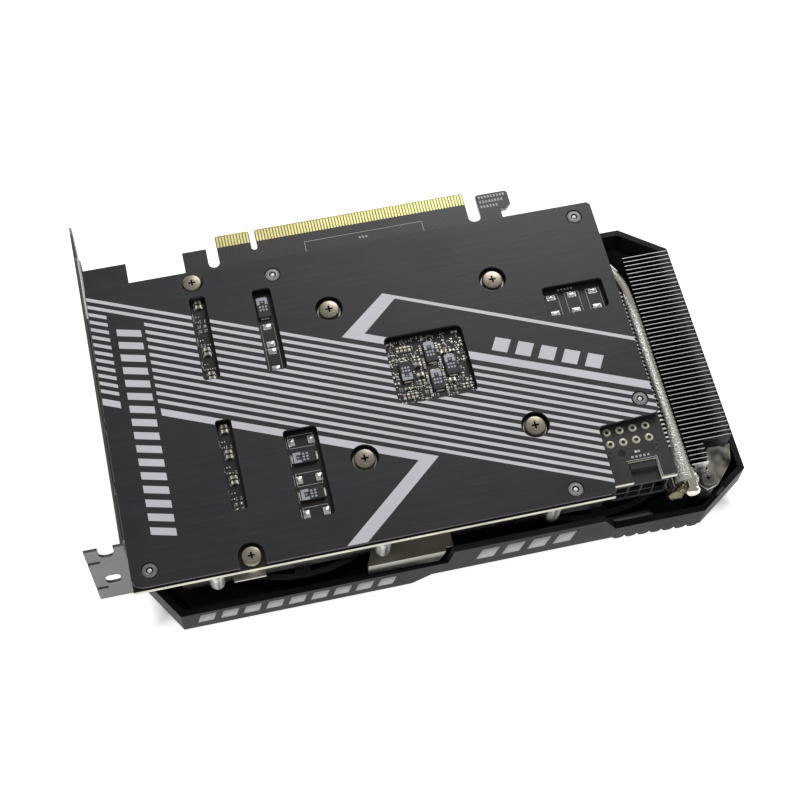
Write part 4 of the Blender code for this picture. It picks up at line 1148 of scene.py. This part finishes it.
def heat_pipes():
    """The outer pipe round the fins, the inner one that dips beside it, and the short straight one."""
    z = PIPE_Z
    dip = -12.6
    row = -63.8
    x = OUTER_PIPE_X
    smooth_pipe("heat_pipe_1", [(x, -120.0, z), (x, -90.0, z), (x, -52.0, z), (173.4, -38.5, z),
                                (166.0, -29.0, z), (154.5, -26.5, z), (144.0, -32.0, z), (137.5, -44.0, z),
                                (127.0, -54.0, z), (112.0, -56.5, z), (95.0, -56.5, z), (22.0, -56.5, z)])
    smooth_pipe("heat_pipe_2", [(171.0, -117.5, dip), (171.0, -108.0, dip), (170.8, -97.0, dip),
                                (167.5, -86.5, dip + 0.3), (160.0, -79.0, -10.8), (150.0, -75.0, z),
                                (135.0, -72.5, z), (118.0, -71.1, z), (100.0, -71.1, z), (22.0, -71.1, z)])
    smooth_pipe("heat_pipe_3", [(22.0, row, z), (60.0, row, z), (142.0, row, z)])


def lumpy(u, v, scale):
    """A bumpy height from 0 to 1 over two measures of a surface."""
    coarse = noise.noise(Vector((u * scale, v * scale, 3.0)))
    fine = noise.noise(Vector((u * scale * 2.6, v * scale * 2.6, 9.0)))
    return 0.5 + 0.5 * coarse + 0.3 * fine


def solder_strip():
    """Frozen solder along the outer pipe's left shoulder, wide and flat towards the pipe's end."""
    start = -115.4
    end = -46.0
    steps = 320
    across = 20
    rows = []
    for i in range(steps + 1):
        y = start + (end - start) * i / steps
        share = 1 - i / steps
        top = radians(56 + 26 * share ** 3 + 70 * max(0.0, 1 - share / 0.16))
        foot = Vector((OUTER_PIPE_X - PIPE_R * 0.8 - 2.9 * max(0.0, share - 0.7) / 0.3, PIPE_Z + 1.2))
        crest = Vector((OUTER_PIPE_X + PIPE_R * cos(top), PIPE_Z + PIPE_R * sin(top)))
        bow = Vector((OUTER_PIPE_X - PIPE_R * 0.8, PIPE_Z + PIPE_R * 1.28))
        row = []
        for k in range(across + 1):
            t = k / across
            place = crest * (1 - t) ** 2 + bow * 2 * t * (1 - t) + foot * t ** 2
            edge = min(1.0, 4 * t, 5 * (1 - t), 0.12 * min(i, steps - i))
            lift = edge * (0.06 + 0.34 * lumpy(y, 4.0 * t, 2.3)) - 0.05
            row.append((place.x - lift * 0.5, y, place.y + lift * 0.85))
        row.append((foot.x + 0.3, y, foot.y - 1.1))
        row.append((OUTER_PIPE_X - 0.6, y, PIPE_Z))
        rows.append(row)
    bm = bmesh.new()
    loft(bm, rows)
    piece("solder_strip", bm, ["strip"], angle=60)


def blob(name, middle, radii, look, scale, depth):
    """A lump of frozen solder."""
    bm = bmesh.new()
    bmesh.ops.create_icosphere(bm, subdivisions=4, radius=1.0)
    for vert in bm.verts:
        swell = 1 + depth * (lumpy(vert.co.x * 3 + vert.co.z, vert.co.y * 3 - vert.co.z, scale) - 0.5)
        vert.co = Vector(middle) + Vector([c * r * swell for c, r in zip(vert.co, radii)])
    piece(name, bm, [look], angle=60)


def solder_blobs():
    """Solder over the inner pipe's end and at the outer pipe's collar."""
    # this look is stained solder that is also painted darker as shade
    blob("solder_inner_end", (171.0, -116.9, -12.4), (3.1, 1.9, 2.75), "flux_stain_and_shade", 0.8, 0.45)
    blob("solder_collar_left", (172.4, -116.9, -8.9), (1.6, 1.5, 1.6), "flux_stain_and_shade", 1.1, 0.5)
    blob("solder_collar_right", (177.5, -114.8, -8.2), (0.9, 1.6, 1.2), "solder", 1.3, 0.5)


# ---------------------------------------------------------------- shroud

GROOVE_WIDE = 0.8
FAN_OPENING_R = 45.0


def shroud_print():
    """Plain slanted blocks on the shroud's front wall where a maker would print lettering."""
    bm = bmesh.new()
    outlines = []
    for k in range(9):
        x = 16.6 + 7.1 * k
        low = -25.4 - 0.055 * (k + 0.5)
        high = -19.8 - 0.055 * (k + 0.5)
        outlines.append([(x, low), (x + 4.9, low), (x + 6.1, high), (x + 1.2, high)])
    for k in range(4):
        x = 105.0 + 8.3 * k
        outlines.append([(x, -19.8), (x + 5.6, -19.8), (x + 7.2, -12.8), (x + 1.6, -12.8)])
    for outline in outlines:
        wall_block(bm, outline, WALL_Y - 0.02, WALL_Y + 0.05)
    piece("shroud_print", bm, ["wall_print"])


def shroud_lip():
    bm = bmesh.new()
    wall_block(bm, [(146.8, -18.5), (146.8, -14.9), (161.0, -14.9), (163.6, -18.0), (163.6, -18.5)],
               WALL_Y + 2.03, WALL_Y + 2.9)
    piece("shroud_inner_lip", bm, ["shroud_dark"])


def shroud_teeth():
    """The cooling ribs at the foot of the front wall."""
    bm = bmesh.new()
    half = 1.75
    for k in range(7):
        x = 152.4 + 4.2 * k
        foot = -25.6 - 0.42 * k
        tooth = [(x + half * cos(a), foot - 1.15 * sin(a)) for a in (pi * i / 10 for i in range(11))]
        wall_block(bm, [(x + half, -23.6)] + tooth + [(x - half, -23.6)], WALL_Y + 0.01, WALL_Y + 1.4)
    piece("shroud_teeth", bm, ["shroud"])


def shroud_clip():
    bm = bmesh.new()
    middle = Vector((186.9, -117.0))
    along = Vector((0.824, 0.567))
    side = Vector((-along.y, along.x))
    corners = [middle + along * u + side * v for u, v in centred(0, 0, 3.4, 0.9)]
    prism(bm, corners, RIM_Z - 0.5, RIM_Z + 0.35)
    piece("shroud_clip", bm, ["glossy"])


def side_flange():
    """The cooler's bent lip: its upright side has the bright steel look, the rest is painted darker as shade
    under the board.
    """
    made = dressed("side_flange", ["flange_shade", "flange"], 0.1)
    for polygon in made.data.polygons:
        polygon.material_index = int(polygon.normal.y < -0.5)


def shroud():
    """The shroud, with plain grooves in its face and its inside kept dark."""
    cutter = bmesh.new()
    low = FACE - 0.5
    high = FACE + 0.5
    for sign in (-1, 1):
        edge = FAN_ROW + sign * 51.0
        for shift in (0.0, 2.6):
            top = edge - sign * (14.0 - shift)
            ribbon(cutter, [(86.0 + shift, edge), (96.5 + shift / 3, top), (103.5 - shift / 3, top),
                            (114.0 - shift, edge)], GROOVE_WIDE, low, high)
        for start, way in ((24.0, -1), (176.0, 1)):
            for k in range(3):
                x = start + way * 2.2 * k
                ribbon(cutter, [(x, edge), (x + way * 9.0, edge - sign * 9.0)], GROOVE_WIDE, low, high)
    soft_box(cutter, (70.0, WALL_Y + 1.0, RIM_Z - 12.0), (96.0, WALL_Y + 2.2, RIM_Z + 1.0), 0, 0)
    made = dressed("fan_shroud", ["shroud", "shroud_dark"], 0.35, cutter=cutter)
    middle = Vector((100.0, FAN_ROW))
    for polygon in made.data.polygons:
        place = local(polygon.center)
        normal = polygon.normal
        in_opening = any(abs((place.xy - Vector((x, FAN_ROW))).length - FAN_OPENING_R) < 0.4
                         for x in FANS.values())
        if normal.z > 0.9:
            hidden = place.z < -27.0 or place.y < -100.0
        else:
            hidden = normal.z > -0.5 and normal.xy.dot(middle - place.xy) > 0 and not in_opening
        polygon.material_index = int(hidden)


# ---------------------------------------------------------------- ports, plug and cans

PORTS = {"displayport_1": -30.0, "displayport_2": -51.0, "displayport_3": -72.0, "hdmi_port": -93.0}


def port_insides():
    """The plastic body, tongue and contacts inside each port."""
    bm = bmesh.new()
    for name, y in PORTS.items():
        half = 5.9 if name == "hdmi_port" else 6.3
        soft_box(bm, (6.5, y - 7.2, -7.3), (10.3, y + 7.2, -2.5), 0, 0.2)
        soft_box(bm, (-0.2, y - half, -5.35), (6.6, y + half, -4.35), 0, 0.15)
        count = 9
        for k in range(count):
            x = y - half + 0.9 + (2 * half - 1.8) * k / (count - 1)
            soft_box(bm, (0.2, x - 0.28, -5.42), (5.6, x + 0.28, -5.3), 1, 0)
            soft_box(bm, (0.2, x - 0.28, -4.4), (5.6, x + 0.28, -4.28), 1, 0)
    piece("port_insides", bm, ["port_tongue", "gold"])


def power_pins():
    bm = bmesh.new()
    half = 0.7
    for row in range(HEADER_ROWS):
        for column in range(HEADER_COLUMNS):
            x = 152.5 + PIN_PITCH * column
            z = -5.1 - PIN_PITCH * row
            soft_box(bm, (x - half, -113.4, z - half), (x + half, -105.6, z + half), 0, 0.3)
    piece("power_pins", bm, ["terminal"])


def capacitor_cans():
    """The three cans below the board: a crimped neck, a tapering wall and a flat end."""
    for i in range(1, 4):
        low, high = span(f"capacitor_{i}")
        top = high.z
        profile = [(0, top), (2.75, top), (2.75, top - 0.8), (2.58, top - 1.1), (2.62, top - 1.5),
                   (2.28, -12.3), (2.12, -12.75), (1.8, -13.0), (0.9, -13.0), (0.8, -12.9), (0, -12.9)]
        bm = bmesh.new()
        turned(bm, profile, ((low.x + high.x) / 2, (low.y + high.y) / 2, 0), 64)
        piece(f"capacitor_{i}_finish", bm, ["can"], (f"capacitor_{i}",))


# ---------------------------------------------------------------- fans

BLADES = 11
BLADE_ROOT = 17.5
BLADE_REACH = 25.5
BLADE_SWEEP = 0.42
BLADE_LOW = -33.2
BLADE_RISE = 5.6
BLADE_CAMBER = 0.9
HUB_FACE = -34.6
POLES = 9


def blade(bm, x, start):
    """One swept blade, thickest at the middle of its width, from the hub's wall to the ring."""
    spans = 16
    chords = 12
    sheets = []
    for face in (1, -1):
        sheet = []
        for i in range(spans + 1):
            s = i / spans
            r = BLADE_ROOT + BLADE_REACH * s
            width = 0.46 - 0.13 * s
            row = []
            for k in range(chords + 1):
                t = k / chords
                angle = start + BLADE_SWEEP * s ** 1.5 + width * (t - 0.5)
                skin = 0.12 + 0.36 * sin(pi * t) ** 0.6
                z = BLADE_LOW + BLADE_RISE * t + BLADE_CAMBER * sin(pi * t) + face * skin
                row.append(bm.verts.new((x + r * cos(angle), FAN_ROW + r * sin(angle), z)))
            sheet.append(row)
        sheets.append(sheet)
    upper, lower = sheets
    for i in range(spans):
        for k in range(chords):
            bm.faces.new((upper[i][k], upper[i][k + 1], upper[i + 1][k + 1], upper[i + 1][k]))
            bm.faces.new((lower[i][k], lower[i + 1][k], lower[i + 1][k + 1], lower[i][k + 1]))
    rim = [(i, 0) for i in range(spans)] + [(spans, k) for k in range(chords)]
    rim += [(i, chords) for i in range(spans, 0, -1)] + [(0, k) for k in range(chords, 0, -1)]
    for (i, k), (i2, k2) in zip(rim, rim[1:] + rim[:1]):
        bm.faces.new((upper[i][k], upper[i2][k2], lower[i2][k2], lower[i][k]))


def rotor(side, x):
    """Hub, blades and rim ring of one fan, and the plain disc in the middle of its hub."""
    bm = bmesh.new()
    hub = [(0, HUB_FACE), (12.4, HUB_FACE), (12.6, -34.7), (14.2, -34.66), (16.2, -34.3), (17.4, -33.6),
           (17.9, -32.7), (18.0, -31.8), (18.0, -26.5), (16.7, -26.5), (16.7, -33.3), (0, -33.3)]
    ring = [(42.5, -33.6), (42.7, -33.85), (43.0, -33.9), (43.4, -33.85), (43.6, -33.6), (43.6, -27.5),
            (43.4, -27.3), (42.7, -27.3), (42.5, -27.5)]
    for profile in (hub, ring):
        turned(bm, profile, (x, FAN_ROW, 0), 96)
    for i in range(BLADES):
        blade(bm, x, tau * i / BLADES)
    piece(f"{side}_fan_rotor_finish", bm, ["fan"], (f"{side}_fan_rotor",), f"{side}_fan", 40)
    bm = bmesh.new()
    disc = [(0, -34.72), (11.2, -34.72), (11.7, -34.66), (11.8, -34.58), (0, -34.58)]
    turned(bm, disc, (x, FAN_ROW, 0), 72, 0)
    turned(bm, [(8.6, -34.8), (9.4, -34.8), (9.4, -34.7), (8.6, -34.7)], (x, FAN_ROW, 0), 72, 1)
    piece(f"{side}_hub_disc", bm, ["glossy", "standoff"], (), f"{side}_fan")


def motor(side, x):
    """The stator's laminated core and windings, its bearing, and the rotor's shaft and magnet."""
    outline = []
    for i in range(POLES):
        middle = tau * i / POLES
        for r, turn in ((7.6, -0.145), (12.5, -0.087), (12.7, -0.29), (13.6, -0.3), (13.6, 0.0), (13.6, 0.3),
                        (12.7, 0.29), (12.5, 0.087), (7.6, 0.145)):
            outline.append((x + r * cos(middle + turn), FAN_ROW + r * sin(middle + turn)))
    flat_sheet(f"{side}_stator_core", [outline, circle(x, FAN_ROW, 6.0)], -30.8, -27.0, 0.08, ["lamination"],
               (f"{side}_stator",))
    bm = bmesh.new()
    for i in range(POLES):
        made = bmesh.new()
        soft_box(made, (8.7, -2.0, -31.4), (12.2, 2.0, -26.4), 0, 0.9, 4)
        made.transform(Matrix.Translation((x, FAN_ROW, 0)) @ Matrix.Rotation(tau * i / POLES, 4, "Z"))
        coil = mesh_of("coil", made)
        bm.from_mesh(coil)
        bpy.data.meshes.remove(coil)
    piece(f"{side}_stator_coils", bm, ["coil"])
    turns = (
        ("bearing", CARD, "bronze", "bearing_bronze",
         [(1.3, -26.5), (1.5, -26.3), (4.0, -26.3), (4.2, -26.5), (4.2, -29.2), (4.05, -29.3), (4.05, -29.6),
          (4.2, -29.7), (4.2, -32.4), (4.0, -32.6), (1.5, -32.6), (1.3, -32.4)]),
        ("fan_shaft", f"{side}_fan", "shaft", "shaft_steel",
         [(0, -26.6), (0.9, -26.6), (1.15, -26.75), (1.25, -27.0), (1.25, -33.0), (0, -33.0)]),
        ("fan_magnet", f"{side}_fan", "magnet", "magnet_rubber",
         [(14.4, -27.0), (14.6, -26.8), (16.2, -26.8), (16.4, -27.0), (16.4, -31.6), (16.2, -31.8),
          (14.6, -31.8), (14.4, -31.6)]),
    )
    for part, body, look, slot, profile in turns:
        bm = bmesh.new()
        turned(bm, profile, (x, FAN_ROW, 0), 64)
        piece(f"{side}_{part}_finish", bm, [look], (f"{side}_{part}",), body)


# ---------------------------------------------------------------- camera, light and floor

CAMERA_PLACE = (27.731, -299.774, 454.677)
CAMERA_TURN = (27.389, -1.469, -12.811)  # degrees about X, Y and Z
CAMERA_LENS = 73.105
WORLD_GLOW = 0.35
FLOOR_GLOW = 0.85
SHADE_MIDDLE = (0.0077, -0.015)
SHADE_HALF = (0.09, 0.042)
SHADE_FADE = 0.008


def camera():
    data = bpy.data.cameras.new("camera")
    data.lens = CAMERA_LENS
    data.sensor_width = 36.0
    data.clip_start = 0.01
    obj = linked("camera", data)
    turn = Euler([radians(angle) for angle in CAMERA_TURN]).to_matrix()
    obj.matrix_world = Matrix.Translation(at(*CAMERA_PLACE)) @ turn.to_4x4()
    bpy.context.scene.camera = obj


def area_light(name, place, target, size, power):
    data = bpy.data.lights.new(name, "AREA")
    data.shape = "RECTANGLE"
    data.size, data.size_y = size
    data.energy = power
    obj = linked(name, data)
    obj.location = place
    obj.rotation_euler = (Vector(target) - Vector(place)).to_track_quat("-Z", "Y").to_euler()


def studio():
    world = bpy.data.worlds.new("studio")
    bpy.context.scene.world = world
    world.use_nodes = True
    background = world.node_tree.nodes["Background"]
    background.inputs["Color"].default_value = (1.0, 1.0, 1.0, 1.0)
    background.inputs["Strength"].default_value = WORLD_GLOW
    middle = (0.0, 0.0, 0.02)
    area_light("key_light", (0.3, 0.75, 0.62), middle, (0.4, 0.4), 4.6)
    area_light("side_light", (0.95, 0.05, 0.3), middle, (0.2, 0.5), 1.0)
    area_light("front_light", (-0.1, -0.9, 0.16), middle, (0.9, 0.2), 1.3)
    bpy.context.scene.view_settings.view_transform = "Standard"


def floor():
    """A pale sheet that glows a little, but not under the card, where it would show through the fans."""
    bm = bmesh.new()
    bmesh.ops.create_grid(bm, x_segments=1, y_segments=1, size=40.0)
    mesh = mesh_of("floor", bm)
    look = Look("floor_paper", (0.9, 0.9, 0.9), 0.7)
    look.shader.inputs["Emission Color"].default_value = (1.0, 1.0, 1.0, 1.0)
    place = look.node("TexCoord")
    centred_place = look.node("Mapping")
    centred_place.inputs["Location"].default_value = (-SHADE_MIDDLE[0], -SHADE_MIDDLE[1], 0.0)
    split = look.node("SeparateXYZ")
    look.links.new(place.outputs["Object"], centred_place.inputs["Vector"])
    look.links.new(centred_place.outputs["Vector"], split.inputs["Vector"])
    glow = look.node("Math", operation="MAXIMUM")
    for slot, (axis, half) in enumerate(zip("XY", SHADE_HALF)):
        reach = look.node("Math", operation="ABSOLUTE")
        look.links.new(split.outputs[axis], reach.inputs[0])
        lit = look.ranged(reach.outputs[0], half, half + SHADE_FADE, 0.0, FLOOR_GLOW)
        look.links.new(lit, glow.inputs[slot])
    look.links.new(glow.outputs[0], look.shader.inputs["Emission Strength"])
    look.vary_colour(look.noise((30, 30, 30)), 0.99, 1.01)
    mesh.materials.append(look.made)
    obj = linked("floor", mesh)
    obj.location.z = -0.0003


# ---------------------------------------------------------------- the whole card

DRESSED = (
    ("io_bracket", "bracket", 0.18, "bracket_steel"),
    ("displayport_1", "port", 0.12, "port_steel"),
    ("displayport_2", "port", 0.12, "port_steel"),
    ("displayport_3", "port", 0.12, "port_steel"),
    ("hdmi_port", "port", 0.12, "port_steel"),
    ("power_connector", "connector", 0.15, "connector_plastic"),
    ("tail_bracket", "polished", 0.12, "frame_steel"),
    ("brace_lower", "frame", 0.1, "frame_steel"),
    ("brace_upper", "frame", 0.1, "frame_steel"),
    ("mounting_frame", "frame", 0.1, "frame_steel"),
    ("gpu_package", "substrate", 0.1, "package_substrate"),
    ("gpu_die", "silicon", 0.05, "silicon"),
    ("cold_plate", "copper", 0.15, "cold_plate_copper"),
    ("fan_header", "nylon", 0.1, "header_nylon"),
    ("left_fan_frame", "fan_frame", 0.2, "fan_frame_plastic"),
    ("right_fan_frame", "fan_frame", 0.2, "fan_frame_plastic"),
)


def build():
    camera()
    studio()
    floor()
    for node, look, round_mm, slot in DRESSED:
        dressed(node, [look], round_mm)
    for i in range(1, 7):
        dressed(f"memory_chip_{i}", ["epoxy"], 0.12)
    for i in range(1, 4):
        dressed(f"inductor_{i}", ["ferrite"], 0.3)
    shroud()
    side_flange()
    port_insides()
    power_pins()
    capacitor_cans()
    for side, x in FANS.items():
        rotor(side, x)
        motor(side, x)
    backplate()
    plate_print()
    board()
    contact_edge()
    board_traces()
    board_silk()
    slot_parts()
    processor_window_parts()
    memory_window_parts()
    window_shade_sheets()
    header_back()
    fin_stacks()
    heat_pipes()
    solder_strip()
    solder_blobs()
    shroud_print()
    shroud_lip()
    shroud_teeth()
    shroud_clip()
    for i in range(1, 5):
        pan_screw(f"gpu_screw_{i}", "screw", 2.0, washer_r=3.75)
    for side in ("upper", "lower"):
        pan_screw(f"brace_screw_{side}", "screw", 1.8)
    pan_screw("tail_screw", "black_screw", 1.5)
    for i in range(1, 6):
        standoff(i)


build()
